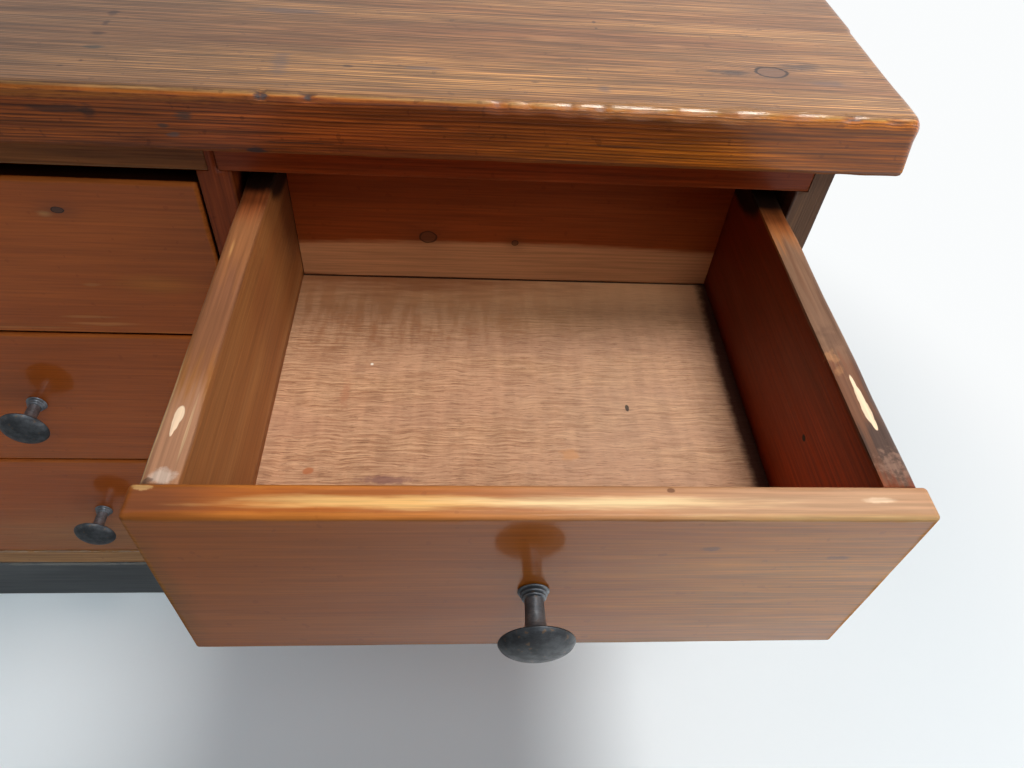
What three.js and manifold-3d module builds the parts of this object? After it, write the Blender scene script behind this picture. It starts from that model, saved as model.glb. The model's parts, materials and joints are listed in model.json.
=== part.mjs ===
// A dresser with two columns of three drawers under a thick plank top. Millimetres, +Z up.
// The origin is on the floor, in the middle of the plinth front's underside, and -Y is the front.
import * as THREE from 'three';
import { mergeVertices } from 'three/addons/utils/BufferGeometryUtils.js';
import Module from 'manifold-3d';

const wasm = await Module();
wasm.setup();

// ---- Driving dimensions ---------------------------------------------------------------------

// Clearances. Boards that touch on the real object keep JOINT_GAP between them, as a glue line.
const JOINT_GAP = 0.3;
const FRONT_SIDE_GAP = 2;
const FRONT_ROW_GAP = 2.5;
const FRONT_TOP_GAP = 10;
const BOX_BACK_CLEARANCE = 19.4;

// Drawer fronts, from the bottom row up.
const FRONT_WIDTH = 365;
const FRONT_THICKNESS = 18;
const BOTTOM_ROW_HEIGHT = 164;
const MIDDLE_ROW_HEIGHT = 161;
const TOP_ROW_HEIGHT = 136;
const FRONT_EASE = 1.5;

// Drawer boxes.
const BOX_LAP = 2.5;
const BOX_SIDE_THICKNESS = 18;
const BOX_SIDE_LENGTH = 290;
const BOX_BACK_THICKNESS = 18;
const BOX_TOP_DROP = 2;
const BOX_BOTTOM_RISE = 10;
const BASE_THICKNESS = 5;
const BASE_RISE = 22;
const BASE_GROOVE_DEPTH = 7;
const OPEN_AT_REST = 247;

// Wooden runners, and the grooves they run in.
const RUNNER_HEIGHT = 16;
const RUNNER_PROUD = 12;
const RUNNER_LENGTH = 300;
const RUNNER_SETBACK = 24;
const RUNNER_TOP_CLEARANCE = 0.3;
const RUNNER_BOTTOM_CLEARANCE = 0.7;
const RUNNER_SIDE_CLEARANCE = 1;
const RUNNER_STOP_CLEARANCE = 0.4;

// Carcass.
const PANEL_THICKNESS = 22;
const BOARD_THICKNESS = 24;
const BACK_PANEL_THICKNESS = 6;
const REBATE_WIDTH = 10;
const RAIL_HEIGHT = 26;
const RAIL_THICKNESS = 20;
const RAIL_LAP = 8;
const BACK_RAIL_HEIGHT = 45;
const BACK_RAIL_THICKNESS = 18;
const PLINTH_HEIGHT = 70;
const PLINTH_THICKNESS = 20;
const PLINTH_PROUD = 2;

// Plank top.
const PLANK_THICKNESS = 38;
const PLANK_FRONT_OVERHANG = 22;
const PLANK_END_OVERHANG = 30;
const PLANK_BACK_OVERHANG = 6;
const PLANK_CORNER_RADIUS = 7;
const PLANK_ARRIS = 3;

// Knobs: a mushroom head on a slim stem over a stepped ring, on a spindle with a screw head inside.
const KNOB_HEAD_DIAMETER = 38;
const KNOB_RIM_REACH = 28;
const KNOB_RIM_THICKNESS = 1.4;
const KNOB_DOME_HEIGHT = 4.5;
const KNOB_CUP_DEPTH = 4.5;
const KNOB_NECK_DIAMETER = 12;
const KNOB_STEM_DIAMETER = 8.6;
const KNOB_STEM_FLARE = 4;
const KNOB_RING_DIAMETER = 15;
const KNOB_RING_THICKNESS = 2.2;
const KNOB_STEP_DIAMETER = 11.5;
const KNOB_STEP_THICKNESS = 2.4;
const KNOB_SPINDLE_DIAMETER = 4.6;
const KNOB_HOLE_DIAMETER = 5.6;
const KNOB_SCREW_DIAMETER = 11;
const KNOB_SCREW_THICKNESS = 2.8;
const KNOB_SIDES = 20;
const HOLE_SIDES = 16;

// ---- Places worked out from the driving dimensions ------------------------------------------

const ROWS = [
  { name: 'bottom', height: BOTTOM_ROW_HEIGHT },
  { name: 'middle', height: MIDDLE_ROW_HEIGHT },
  { name: 'top', height: TOP_ROW_HEIGHT },
];
const COLUMNS = [
  { name: 'left', side: -1 },
  { name: 'right', side: 1 },
];

const bayWidth = FRONT_WIDTH + 2 * FRONT_SIDE_GAP;
const bayCentreX = (PANEL_THICKNESS + bayWidth) / 2;
const bayOuterX = PANEL_THICKNESS / 2 + bayWidth;
const carcassHalfX = bayOuterX + PANEL_THICKNESS;

const frontY = PLINTH_PROUD - PLINTH_THICKNESS / 2;
const backRailY = frontY + FRONT_THICKNESS + BOX_SIDE_LENGTH + BOX_BACK_CLEARANCE;
const insideBackY = backRailY + BACK_RAIL_THICKNESS + JOINT_GAP;
const backPanelY = insideBackY + JOINT_GAP;
const carcassBackY = backPanelY + BACK_PANEL_THICKNESS;

const boardZ = PLINTH_HEIGHT;
const boardTopZ = boardZ + BOARD_THICKNESS;
let stackZ = boardTopZ + FRONT_ROW_GAP;
for (const row of ROWS) {
  row.z = stackZ;
  stackZ += row.height + FRONT_ROW_GAP;
}
const frontsTopZ = stackZ - FRONT_ROW_GAP;
const railZ = frontsTopZ + FRONT_TOP_GAP;
const plankZ = railZ + RAIL_HEIGHT + JOINT_GAP;
const panelZ = boardTopZ + JOINT_GAP;
const panelTopZ = plankZ - JOINT_GAP;

const boxHalfX = FRONT_WIDTH / 2 - BOX_LAP;
const boxInnerX = boxHalfX - BOX_SIDE_THICKNESS;
const boxY = FRONT_THICKNESS + JOINT_GAP;
const boxBackY = FRONT_THICKNESS + BOX_SIDE_LENGTH;
const boxWallClearance = bayWidth / 2 - boxHalfX;
const runnerGrooveDepth = RUNNER_PROUD - boxWallClearance + RUNNER_SIDE_CLEARANCE;

// ---- Solids ---------------------------------------------------------------------------------

const MERGE_DISTANCE = 1e-4;
// A cutting tool runs this far past the face that it opens.
const OVERRUN = 1;

/** A box from its lowest corner to its highest. */
function block(low, high) {
  const size = high.map((value, axis) => value - low[axis]);
  const geometry = new THREE.BoxGeometry(...size);
  geometry.translate(...low.map((value, axis) => value + size[axis] / 2));
  return geometry;
}

/** A round bar along Y. */
function barAlongY(diameter, y, length, sides) {
  const geometry = new THREE.CylinderGeometry(diameter / 2, diameter / 2, length, sides);
  geometry.translate(0, y + length / 2, 0);
  return geometry;
}

/** The same surface with its seams merged, so that it is one closed skin. */
function closed(geometry) {
  const bare = geometry.clone();
  bare.deleteAttribute('normal');
  bare.deleteAttribute('uv');
  const merged = mergeVertices(bare, MERGE_DISTANCE);
  merged.computeVertexNormals();
  return merged;
}

function toSolid(geometry) {
  const skin = closed(geometry);
  const vertProperties = new Float32Array(skin.attributes.position.array);
  const triVerts = new Uint32Array(skin.index.array);
  return new wasm.Manifold(new wasm.Mesh({ numProp: 3, vertProperties, triVerts }));
}

/** Cuts every tool out of a geometry. */
function cut(geometry, tools) {
  let solid = toSolid(geometry);
  for (const tool of tools) {
    solid = solid.subtract(toSolid(tool));
  }
  const mesh = solid.getMesh();
  const result = new THREE.BufferGeometry();
  result.setAttribute('position', new THREE.Float32BufferAttribute(mesh.vertProperties, 3));
  result.setIndex(new THREE.Uint32BufferAttribute(mesh.triVerts, 1));
  result.computeVertexNormals();
  return result;
}

/** A rectangle in the XY plane with its corners rounded. */
function roundedRectangle(halfX, halfY, radius) {
  const shape = new THREE.Shape();
  const x = halfX - radius;
  const y = halfY - radius;
  shape.absarc(x, y, radius, 0, Math.PI / 2, false);
  shape.absarc(-x, y, radius, Math.PI / 2, Math.PI, false);
  shape.absarc(-x, -y, radius, Math.PI, 1.5 * Math.PI, false);
  shape.absarc(x, -y, radius, 1.5 * Math.PI, 2 * Math.PI, false);
  return shape;
}

// ---- Finishes -------------------------------------------------------------------------------

const FINISHES = {
  plank: { color: 0x8a5a30, roughness: 0.5, metalness: 0 },
  carcass: { color: 0x5f3420, roughness: 0.45, metalness: 0 },
  front: { color: 0x8a4a26, roughness: 0.3, metalness: 0 },
  box: { color: 0x7a3f22, roughness: 0.45, metalness: 0 },
  base: { color: 0xa8745a, roughness: 0.7, metalness: 0 },
  runner: { color: 0xb98a58, roughness: 0.6, metalness: 0 },
  plinth: { color: 0x2b2e31, roughness: 0.6, metalness: 0 },
  back: { color: 0x8d6b4a, roughness: 0.75, metalness: 0 },
  knob: { color: 0x4b5157, roughness: 0.45, metalness: 0.8 },
};

function piece(name, geometry, finish) {
  const mesh = new THREE.Mesh(geometry, new THREE.MeshStandardMaterial(FINISHES[finish]));
  mesh.name = name;
  return mesh;
}

// ---- Drawers --------------------------------------------------------------------------------
// Each drawer is built about the middle of its front's lower edge, with the front face at y = 0.

/** Lowest and highest Z of a drawer box's runner groove. */
function runnerGroove(height) {
  const middle = (BOX_BOTTOM_RISE + height - BOX_TOP_DROP) / 2;
  const runnerTop = middle + RUNNER_HEIGHT / 2;
  return {
    top: runnerTop + RUNNER_TOP_CLEARANCE,
    runnerTop,
    runnerBottom: runnerTop - RUNNER_HEIGHT,
    bottom: runnerTop - RUNNER_HEIGHT - RUNNER_BOTTOM_CLEARANCE,
  };
}

/** The slot that holds the edge of the drawer's base, cut in its front and its sides. */
function baseSlot(y, endY) {
  const halfX = boxInnerX + BASE_GROOVE_DEPTH;
  return block([-halfX, y, BASE_RISE - JOINT_GAP], [halfX, endY, BASE_RISE + BASE_THICKNESS + JOINT_GAP]);
}

function drawerFront(height) {
  const outline = new THREE.Shape();
  const halfX = FRONT_WIDTH / 2 - FRONT_EASE;
  outline.moveTo(-halfX, FRONT_EASE);
  outline.lineTo(halfX, FRONT_EASE);
  outline.lineTo(halfX, height - FRONT_EASE);
  outline.lineTo(-halfX, height - FRONT_EASE);
  const board = new THREE.ExtrudeGeometry(outline, {
    depth: FRONT_THICKNESS - 2 * FRONT_EASE,
    bevelThickness: FRONT_EASE,
    bevelSize: FRONT_EASE,
    bevelSegments: 1,
  });
  board.rotateX(Math.PI / 2);
  board.translate(0, FRONT_THICKNESS - FRONT_EASE, 0);
  const hole = barAlongY(KNOB_HOLE_DIAMETER, -OVERRUN, FRONT_THICKNESS + 2 * OVERRUN, HOLE_SIDES);
  hole.translate(0, 0, height / 2);
  const slot = baseSlot(FRONT_THICKNESS - BASE_GROOVE_DEPTH, FRONT_THICKNESS + OVERRUN);
  return cut(board, [slot, hole]);
}

/** The left or right side of a drawer box, grooved outside for its runner and inside for the base. */
function drawerSide(height, side) {
  const groove = runnerGroove(height);
  const low = [boxInnerX, boxY, BOX_BOTTOM_RISE];
  const high = [boxHalfX, boxBackY, height - BOX_TOP_DROP];
  const runnerSlot = block(
    [boxHalfX - runnerGrooveDepth, RUNNER_SETBACK - RUNNER_STOP_CLEARANCE, groove.bottom],
    [boxHalfX + OVERRUN, boxBackY + OVERRUN, groove.top],
  );
  const slot = baseSlot(boxY - OVERRUN, boxBackY + OVERRUN);
  const board = cut(block(low, high), [runnerSlot, slot]);
  return side > 0 ? board : mirrored(board);
}

/** The same solid on the other side of the YZ plane. */
function mirrored(geometry) {
  const result = geometry.clone();
  result.scale(-1, 1, 1);
  const index = result.index.array;
  for (let corner = 0; corner < index.length; corner += 3) {
    [index[corner], index[corner + 1]] = [index[corner + 1], index[corner]];
  }
  result.computeVertexNormals();
  return result;
}

function drawerBack(height) {
  const halfX = boxInnerX - JOINT_GAP;
  return block(
    [-halfX, boxBackY - BOX_BACK_THICKNESS, BASE_RISE + BASE_THICKNESS + JOINT_GAP],
    [halfX, boxBackY, height - BOX_TOP_DROP],
  );
}

function drawerBase() {
  const halfX = boxInnerX + BASE_GROOVE_DEPTH - JOINT_GAP;
  return block(
    [-halfX, FRONT_THICKNESS - BASE_GROOVE_DEPTH + JOINT_GAP, BASE_RISE],
    [halfX, boxBackY, BASE_RISE + BASE_THICKNESS],
  );
}

/** Half-outline of a knob: [radius, reach in front of the drawer], from its inner end outwards. */
function knobOutline() {
  const screwReach = -FRONT_THICKNESS - JOINT_GAP;
  const stepReach = JOINT_GAP + KNOB_RING_THICKNESS;
  const stemReach = stepReach + KNOB_STEP_THICKNESS;
  const neckReach = KNOB_RIM_REACH - KNOB_CUP_DEPTH;
  const rimEnd = KNOB_RIM_REACH + KNOB_RIM_THICKNESS;
  const head = KNOB_HEAD_DIAMETER / 2;
  const outline = [
    [0, screwReach - KNOB_SCREW_THICKNESS],
    [KNOB_SCREW_DIAMETER / 2, screwReach - KNOB_SCREW_THICKNESS],
    [KNOB_SCREW_DIAMETER / 2, screwReach],
    [KNOB_SPINDLE_DIAMETER / 2, screwReach],
    [KNOB_SPINDLE_DIAMETER / 2, JOINT_GAP],
    [KNOB_RING_DIAMETER / 2, JOINT_GAP],
    [KNOB_RING_DIAMETER / 2, stepReach],
    [KNOB_STEP_DIAMETER / 2, stepReach],
    [KNOB_STEP_DIAMETER / 2, stemReach],
    [KNOB_STEM_DIAMETER / 2, stemReach],
    [KNOB_STEM_DIAMETER / 2, neckReach - KNOB_STEM_FLARE],
    [KNOB_NECK_DIAMETER / 2, neckReach],
    [head, KNOB_RIM_REACH],
    [head, rimEnd],
  ];
  const domeSteps = 3;
  for (let step = 1; step <= domeSteps; step += 1) {
    const angle = (Math.PI / 2) * (step / domeSteps);
    const radius = step === domeSteps ? 0 : head * Math.cos(angle);
    outline.push([radius, rimEnd + KNOB_DOME_HEIGHT * Math.sin(angle)]);
  }
  return outline.map(([radius, reach]) => new THREE.Vector2(radius, reach));
}

function drawerKnob(height) {
  const geometry = new THREE.LatheGeometry(knobOutline(), KNOB_SIDES);
  geometry.rotateX(Math.PI);
  geometry.translate(0, 0, height / 2);
  return closed(geometry);
}

function drawer(column, row) {
  const name = `drawer_${row.name}_${column.name}`;
  const group = new THREE.Group();
  group.add(piece(`${name}_front`, drawerFront(row.height), 'front'));
  group.add(piece(`${name}_side_left`, drawerSide(row.height, -1), 'box'));
  group.add(piece(`${name}_side_right`, drawerSide(row.height, 1), 'box'));
  group.add(piece(`${name}_back`, drawerBack(row.height), 'box'));
  group.add(piece(`${name}_base`, drawerBase(), 'base'));
  group.add(piece(`${name}_knob`, drawerKnob(row.height), 'knob'));
  group.position.set(column.side * bayCentreX, frontY, row.z);
  return group;
}

/** The two runners of one drawer, fixed to the walls of its bay. */
function runners(column, row) {
  const groove = runnerGroove(row.height);
  const group = new THREE.Group();
  for (const end of COLUMNS) {
    const wallX = end.side * (bayWidth / 2 - JOINT_GAP);
    const faceX = end.side * (bayWidth / 2 - RUNNER_PROUD);
    const low = [Math.min(wallX, faceX), RUNNER_SETBACK, groove.runnerBottom];
    const high = [Math.max(wallX, faceX), RUNNER_SETBACK + RUNNER_LENGTH, groove.runnerTop];
    group.add(piece(`runner_${row.name}_${column.name}_${end.name}`, block(low, high), 'runner'));
  }
  group.position.set(column.side * bayCentreX, frontY, row.z);
  return group;
}

// ---- Carcass --------------------------------------------------------------------------------

/** The end lap of a top rail, cut into the front edge of the panel whose bay face is at x. */
function railNotch(x, intoPanel) {
  const deepX = x + intoPanel * (RAIL_LAP + JOINT_GAP);
  const nearX = x - intoPanel * OVERRUN;
  return block(
    [Math.min(deepX, nearX), frontY - OVERRUN, railZ - JOINT_GAP],
    [Math.max(deepX, nearX), frontY + RAIL_THICKNESS + JOINT_GAP, panelTopZ + OVERRUN],
  );
}

/** The rebate that takes the back panel, between two X values, at the back of a board. */
function backRebate(x, endX, z, endZ) {
  return block([x, insideBackY, z], [endX, carcassBackY + OVERRUN, endZ]);
}

function carcassSide(side) {
  const board = block([bayOuterX, frontY, panelZ], [carcassHalfX, carcassBackY, panelTopZ]);
  const rebateX = bayOuterX + REBATE_WIDTH;
  const rebate = backRebate(bayOuterX - OVERRUN, rebateX, panelZ - OVERRUN, panelTopZ + OVERRUN);
  const result = cut(board, [rebate, railNotch(bayOuterX, 1)]);
  return side > 0 ? result : mirrored(result);
}

function centreDivider() {
  const halfX = PANEL_THICKNESS / 2;
  const board = block([-halfX, frontY, panelZ], [halfX, insideBackY, panelTopZ]);
  const notchZ = panelTopZ - BACK_RAIL_HEIGHT - JOINT_GAP;
  const backNotch = block(
    [-halfX - OVERRUN, backRailY - JOINT_GAP, notchZ],
    [halfX + OVERRUN, insideBackY + OVERRUN, panelTopZ + OVERRUN],
  );
  return cut(board, [railNotch(-halfX, 1), railNotch(halfX, -1), backNotch]);
}

function bottomBoard() {
  const board = block([-carcassHalfX, frontY, boardZ], [carcassHalfX, carcassBackY, boardTopZ]);
  const rebateX = bayOuterX + REBATE_WIDTH;
  const rebate = backRebate(-rebateX, rebateX, boardTopZ - REBATE_WIDTH, boardTopZ + OVERRUN);
  return cut(board, [rebate]);
}

function backPanel() {
  const halfX = bayOuterX + REBATE_WIDTH - JOINT_GAP;
  const z = boardTopZ - REBATE_WIDTH + JOINT_GAP;
  return block([-halfX, backPanelY, z], [halfX, carcassBackY, panelTopZ]);
}

/** The rail over one column, lapped into the divider and the side. */
function topRail() {
  return block(
    [PANEL_THICKNESS / 2 - RAIL_LAP, frontY, railZ],
    [bayOuterX + RAIL_LAP, frontY + RAIL_THICKNESS, panelTopZ],
  );
}

/** The rail across the back, under the plank, let into the divider. */
function backRail() {
  const halfX = bayOuterX - JOINT_GAP;
  const endY = backRailY + BACK_RAIL_THICKNESS;
  return block([-halfX, backRailY, panelTopZ - BACK_RAIL_HEIGHT], [halfX, endY, panelTopZ]);
}

function plinthFront() {
  const y = frontY - PLINTH_PROUD;
  const top = boardZ - JOINT_GAP;
  return block([-carcassHalfX, y, 0], [carcassHalfX, y + PLINTH_THICKNESS, top]);
}

function plinthSide(side) {
  const y = frontY - PLINTH_PROUD + PLINTH_THICKNESS + JOINT_GAP;
  const faces = [side * carcassHalfX, side * (carcassHalfX - PLINTH_THICKNESS)];
  return block([Math.min(...faces), y, 0], [Math.max(...faces), carcassBackY, boardZ - JOINT_GAP]);
}

function plankTop() {
  const halfX = carcassHalfX + PLANK_END_OVERHANG - PLANK_ARRIS;
  const y = frontY - PLANK_FRONT_OVERHANG;
  const endY = carcassBackY + PLANK_BACK_OVERHANG;
  const halfY = (endY - y) / 2 - PLANK_ARRIS;
  const outline = roundedRectangle(halfX, halfY, PLANK_CORNER_RADIUS);
  const geometry = new THREE.ExtrudeGeometry(outline, {
    depth: PLANK_THICKNESS - 2 * PLANK_ARRIS,
    bevelThickness: PLANK_ARRIS,
    bevelSize: PLANK_ARRIS,
    bevelSegments: 2,
    curveSegments: 5,
  });
  geometry.translate(0, (y + endY) / 2, plankZ + PLANK_ARRIS);
  return closed(geometry);
}

// ---- The dresser ----------------------------------------------------------------------------

function carcass() {
  const group = new THREE.Group();
  group.add(piece('plank_top', plankTop(), 'plank'));
  group.add(piece('side_left', carcassSide(-1), 'carcass'));
  group.add(piece('side_right', carcassSide(1), 'carcass'));
  group.add(piece('centre_divider', centreDivider(), 'carcass'));
  group.add(piece('bottom_board', bottomBoard(), 'carcass'));
  group.add(piece('top_rail_left', mirrored(topRail()), 'carcass'));
  group.add(piece('top_rail_right', topRail(), 'carcass'));
  group.add(piece('back_rail', backRail(), 'carcass'));
  group.add(piece('back_panel', backPanel(), 'back'));
  group.add(piece('plinth_front', plinthFront(), 'plinth'));
  group.add(piece('plinth_side_left', plinthSide(-1), 'plinth'));
  group.add(piece('plinth_side_right', plinthSide(1), 'plinth'));
  return group;
}

const dresser = new THREE.Group();
dresser.add(carcass());
for (const column of COLUMNS) {
  for (const row of ROWS) {
    const box = drawer(column, row);
    if (column.name === 'right' && row.name === 'top') {
      box.position.y -= OPEN_AT_REST;
    }
    dresser.add(box);
    dresser.add(runners(column, row));
  }
}

export default dresser;
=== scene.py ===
"""A dresser with two columns of three drawers under a thick, worn plank top.

Lengths are metres, +Z is up and -Y is the front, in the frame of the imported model.
"""
import json
import logging
import math
from collections.abc import Callable
from dataclasses import dataclass, field, fields, replace
from enum import Enum

import bmesh
import bpy
from mathutils import Matrix, Vector, noise

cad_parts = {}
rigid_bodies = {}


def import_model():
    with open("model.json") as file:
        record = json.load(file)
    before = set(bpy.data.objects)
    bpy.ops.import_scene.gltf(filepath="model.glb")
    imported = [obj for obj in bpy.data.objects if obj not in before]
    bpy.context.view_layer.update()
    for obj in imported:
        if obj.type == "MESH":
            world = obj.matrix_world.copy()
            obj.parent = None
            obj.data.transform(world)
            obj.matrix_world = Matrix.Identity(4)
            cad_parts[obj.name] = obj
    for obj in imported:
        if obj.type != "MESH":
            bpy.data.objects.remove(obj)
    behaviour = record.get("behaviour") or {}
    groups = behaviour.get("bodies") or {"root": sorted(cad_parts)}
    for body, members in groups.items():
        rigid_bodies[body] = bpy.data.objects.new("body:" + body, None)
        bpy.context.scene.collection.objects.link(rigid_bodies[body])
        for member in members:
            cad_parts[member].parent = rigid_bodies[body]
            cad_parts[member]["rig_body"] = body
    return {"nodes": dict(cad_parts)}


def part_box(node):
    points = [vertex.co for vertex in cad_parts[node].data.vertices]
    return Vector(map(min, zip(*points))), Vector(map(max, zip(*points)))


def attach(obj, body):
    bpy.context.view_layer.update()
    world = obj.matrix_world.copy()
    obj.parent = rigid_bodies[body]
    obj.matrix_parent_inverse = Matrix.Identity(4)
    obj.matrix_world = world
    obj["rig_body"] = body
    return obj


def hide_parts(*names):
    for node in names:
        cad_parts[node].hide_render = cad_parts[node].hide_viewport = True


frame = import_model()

LOG = logging.getLogger("dresser")
MM = 0.001

Pair = tuple[float, float]
Triple = tuple[float, float, float]
Colour = tuple[float, float, float, float]
Value = float | bpy.types.NodeSocket


def tint(red: float, green: float, blue: float) -> Colour:
    """Returns an opaque linear colour."""
    return (red, green, blue, 1.0)


# ---- Choices --------------------------------------------------------------------------------


class Grain(Enum):
    """How a board's grain lies: the axes that run along it, across it and through it."""

    FLAT = (0, 1, 2)
    LYING = (0, 2, 1)
    DEEP = (1, 2, 0)
    STANDING = (2, 1, 0)
    PANEL = (2, 0, 1)


class Row(Enum):
    """The rows of drawers, from the floor up."""

    BOTTOM = "bottom"
    MIDDLE = "middle"
    TOP = "top"


class Hand(Enum):
    """A column of drawers, or a side of a drawer, with its direction along X."""

    LEFT = ("left", -1)
    RIGHT = ("right", 1)

    @property
    def word(self) -> str:
        """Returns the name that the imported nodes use."""
        return self.value[0]

    @property
    def way(self) -> int:
        """Returns -1 on the left and 1 on the right."""
        return self.value[1]


# ---- Shader maths ---------------------------------------------------------------------------


class Graph:
    """A short way to write shader maths into a node tree."""

    def __init__(self, tree: bpy.types.NodeTree) -> None:
        """Starts an empty graph.

        Args:
            tree: The node tree that the nodes go into.
        """
        self.tree = tree
        tree.nodes.clear()

    def node(self, kind: str, **settings: object) -> bpy.types.Node:
        """Adds a node.

        Args:
            kind: Blender's name for the node type.
            **settings: Properties to set on it.

        Returns:
            The new node.
        """
        made = self.tree.nodes.new(kind)
        for key, value in settings.items():
            setattr(made, key, value)
        count = len(self.tree.nodes)
        made.location = (180 * (count % 12), -220 * (count // 12))
        return made

    def feed(self, socket: bpy.types.NodeSocket, value: object) -> None:
        """Links a socket's source to it, or sets its plain value.

        Args:
            socket: The input socket.
            value: A socket, a number, a vector or a colour.
        """
        if isinstance(value, bpy.types.NodeSocket):
            self.tree.links.new(value, socket)
        else:
            socket.default_value = value

    def math(self, operation: str, a: Value, b: Value = 0.0, c: Value = 0.0) -> bpy.types.NodeSocket:
        """Adds one step of arithmetic.

        Args:
            operation: Blender's name for the operation.
            a: The first number.
            b: The second number.
            c: The third number, which only MULTIPLY_ADD reads.

        Returns:
            The result.
        """
        made = self.node("ShaderNodeMath", operation=operation)
        for socket, number in zip(made.inputs, (a, b, c)):
            self.feed(socket, number)
        return made.outputs[0]

    def vector(self, operation: str, a: object, b: object = (0.0, 0.0, 0.0)) -> bpy.types.NodeSocket:
        """Adds one step of vector arithmetic.

        Args:
            operation: Blender's name for the operation.
            a: The first vector.
            b: The second vector, or the factor of a SCALE.

        Returns:
            The result, a number for LENGTH and a vector otherwise.
        """
        made = self.node("ShaderNodeVectorMath", operation=operation)
        self.feed(made.inputs[0], a)
        self.feed(made.inputs["Scale" if operation == "SCALE" else 1], b)
        return made.outputs["Value" if operation == "LENGTH" else "Vector"]

    def split(self, vector: object) -> tuple[bpy.types.NodeSocket, ...]:
        """Splits a vector.

        Args:
            vector: The vector.

        Returns:
            Its three numbers.
        """
        made = self.node("ShaderNodeSeparateXYZ")
        self.feed(made.inputs[0], vector)
        return tuple(made.outputs)

    def join(self, x: Value, y: Value, z: Value) -> bpy.types.NodeSocket:
        """Makes a vector.

        Args:
            x: Its first number.
            y: Its second number.
            z: Its third number.

        Returns:
            The vector.
        """
        made = self.node("ShaderNodeCombineXYZ")
        for socket, value in zip(made.inputs, (x, y, z)):
            self.feed(socket, value)
        return made.outputs[0]

    def ease(
        self, value: Value, low: Value, high: Value, start: Value = 0.0, end: Value = 1.0,
    ) -> bpy.types.NodeSocket:
        """Turns a range into another with a smooth start and end.

        Args:
            value: The number to turn.
            low: Where the range starts.
            high: Where it ends.
            start: The result at and below low.
            end: The result at and above high.

        Returns:
            The result.
        """
        made = self.node("ShaderNodeMapRange", interpolation_type="SMOOTHSTEP")
        for socket, number in zip(made.inputs, (value, low, high, start, end)):
            self.feed(socket, number)
        return made.outputs[0]

    def mix(self, factor: Value, a: object, b: object, blend: str = "MIX") -> bpy.types.NodeSocket:
        """Mixes two colours.

        Args:
            factor: How much of the second one shows.
            a: The first colour.
            b: The second colour.
            blend: Blender's name for the way they mix.

        Returns:
            The mixed colour.
        """
        made = self.node("ShaderNodeMix", data_type="RGBA", blend_type=blend, clamp_result=False)
        self.feed(made.inputs["Factor"], factor)
        self.feed(made.inputs[6], a)
        self.feed(made.inputs[7], b)
        return made.outputs[2]

    def shade(self, colour: object, amount: Value) -> bpy.types.NodeSocket:
        """Returns a colour made lighter or darker by a factor."""
        plain = colour if isinstance(colour, bpy.types.NodeSocket) else colour[:3]
        return self.vector("SCALE", plain, amount)

    def cloud(
        self, place: object, stretch: Triple, detail: float = 2.0, rough: float = 0.5,
    ) -> bpy.types.NodeSocket:
        """Adds noise whose size along each axis is set by a stretch, in cycles for each metre.

        Args:
            place: The position.
            stretch: Cycles for each metre, along each axis.
            detail: Octaves of finer noise.
            rough: How strong the finer noise is.

        Returns:
            The noise, about 0.5.
        """
        made = self.node("ShaderNodeTexNoise", noise_dimensions="3D")
        self.feed(made.inputs["Vector"], self.vector("MULTIPLY", place, stretch))
        made.inputs["Scale"].default_value = 1.0
        made.inputs["Detail"].default_value = detail
        made.inputs["Roughness"].default_value = rough
        return made.outputs["Fac"]

    def line_noise(self, number: Value, detail: float = 0.0) -> bpy.types.NodeSocket:
        """Adds noise along one number.

        Args:
            number: The number.
            detail: Octaves of finer noise.

        Returns:
            The noise, about 0.5.
        """
        made = self.node("ShaderNodeTexNoise", noise_dimensions="1D")
        self.feed(made.inputs["W"], number)
        made.inputs["Scale"].default_value = 1.0
        made.inputs["Detail"].default_value = detail
        return made.outputs["Fac"]

    def total(self, *values: Value) -> Value:
        """Adds up some numbers.

        Args:
            *values: The numbers.

        Returns:
            Their sum.
        """
        result = values[0]
        for value in values[1:]:
            result = self.math("ADD", result, value)
        return result

    def place(self, effect: bpy.types.NodeTree, **inputs: object) -> bpy.types.bpy_prop_collection:
        """Places an effect with its own values.

        Args:
            effect: The shader node group.
            **inputs: Values or sockets for its inputs.

        Returns:
            The group node's outputs, by name.
        """
        made = self.node("ShaderNodeGroup", node_tree=effect)
        for label, value in inputs.items():
            self.feed(made.inputs[label], value)
        return made.outputs


    def relief(self, shader: bpy.types.Node, height: Value, strength: float, distance: float) -> None:
        """Gives a shader's surface a fine relief.

        Args:
            shader: The shader node.
            height: The height at each place.
            strength: How strongly the relief shows.
            distance: How high a height of 1 stands, in metres.
        """
        bump = self.node("ShaderNodeBump")
        bump.inputs["Strength"].default_value = strength
        bump.inputs["Distance"].default_value = distance
        self.feed(bump.inputs["Height"], height)
        self.feed(shader.inputs["Normal"], bump.outputs["Normal"])


class Effect(Graph):
    """A shader node group under construction, with named inputs and outputs."""

    def __init__(self, name: str, inputs: dict[str, object], outputs: tuple[str, ...]) -> None:
        """Starts a group.

        Args:
            name: The group's name.
            inputs: Each input's name and default: a number or a vector.
            outputs: The names of the numbers it puts out.
        """
        super().__init__(bpy.data.node_groups.new(name, "ShaderNodeTree"))
        for label, default in inputs.items():
            kind = "NodeSocketFloat" if isinstance(default, float) else "NodeSocketVector"
            socket = self.tree.interface.new_socket(name=label, in_out="INPUT", socket_type=kind)
            socket.default_value = default
        for label in outputs:
            self.tree.interface.new_socket(name=label, in_out="OUTPUT", socket_type="NodeSocketFloat")
        self.inputs = self.node("NodeGroupInput").outputs
        self.results = self.node("NodeGroupOutput").inputs

    def give(self, **results: Value) -> bpy.types.NodeTree:
        """Links the group's outputs.

        Args:
            **results: What each output gives.

        Returns:
            The group's node tree.
        """
        for label, value in results.items():
            self.feed(self.results[label], value)
        return self.tree


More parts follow.
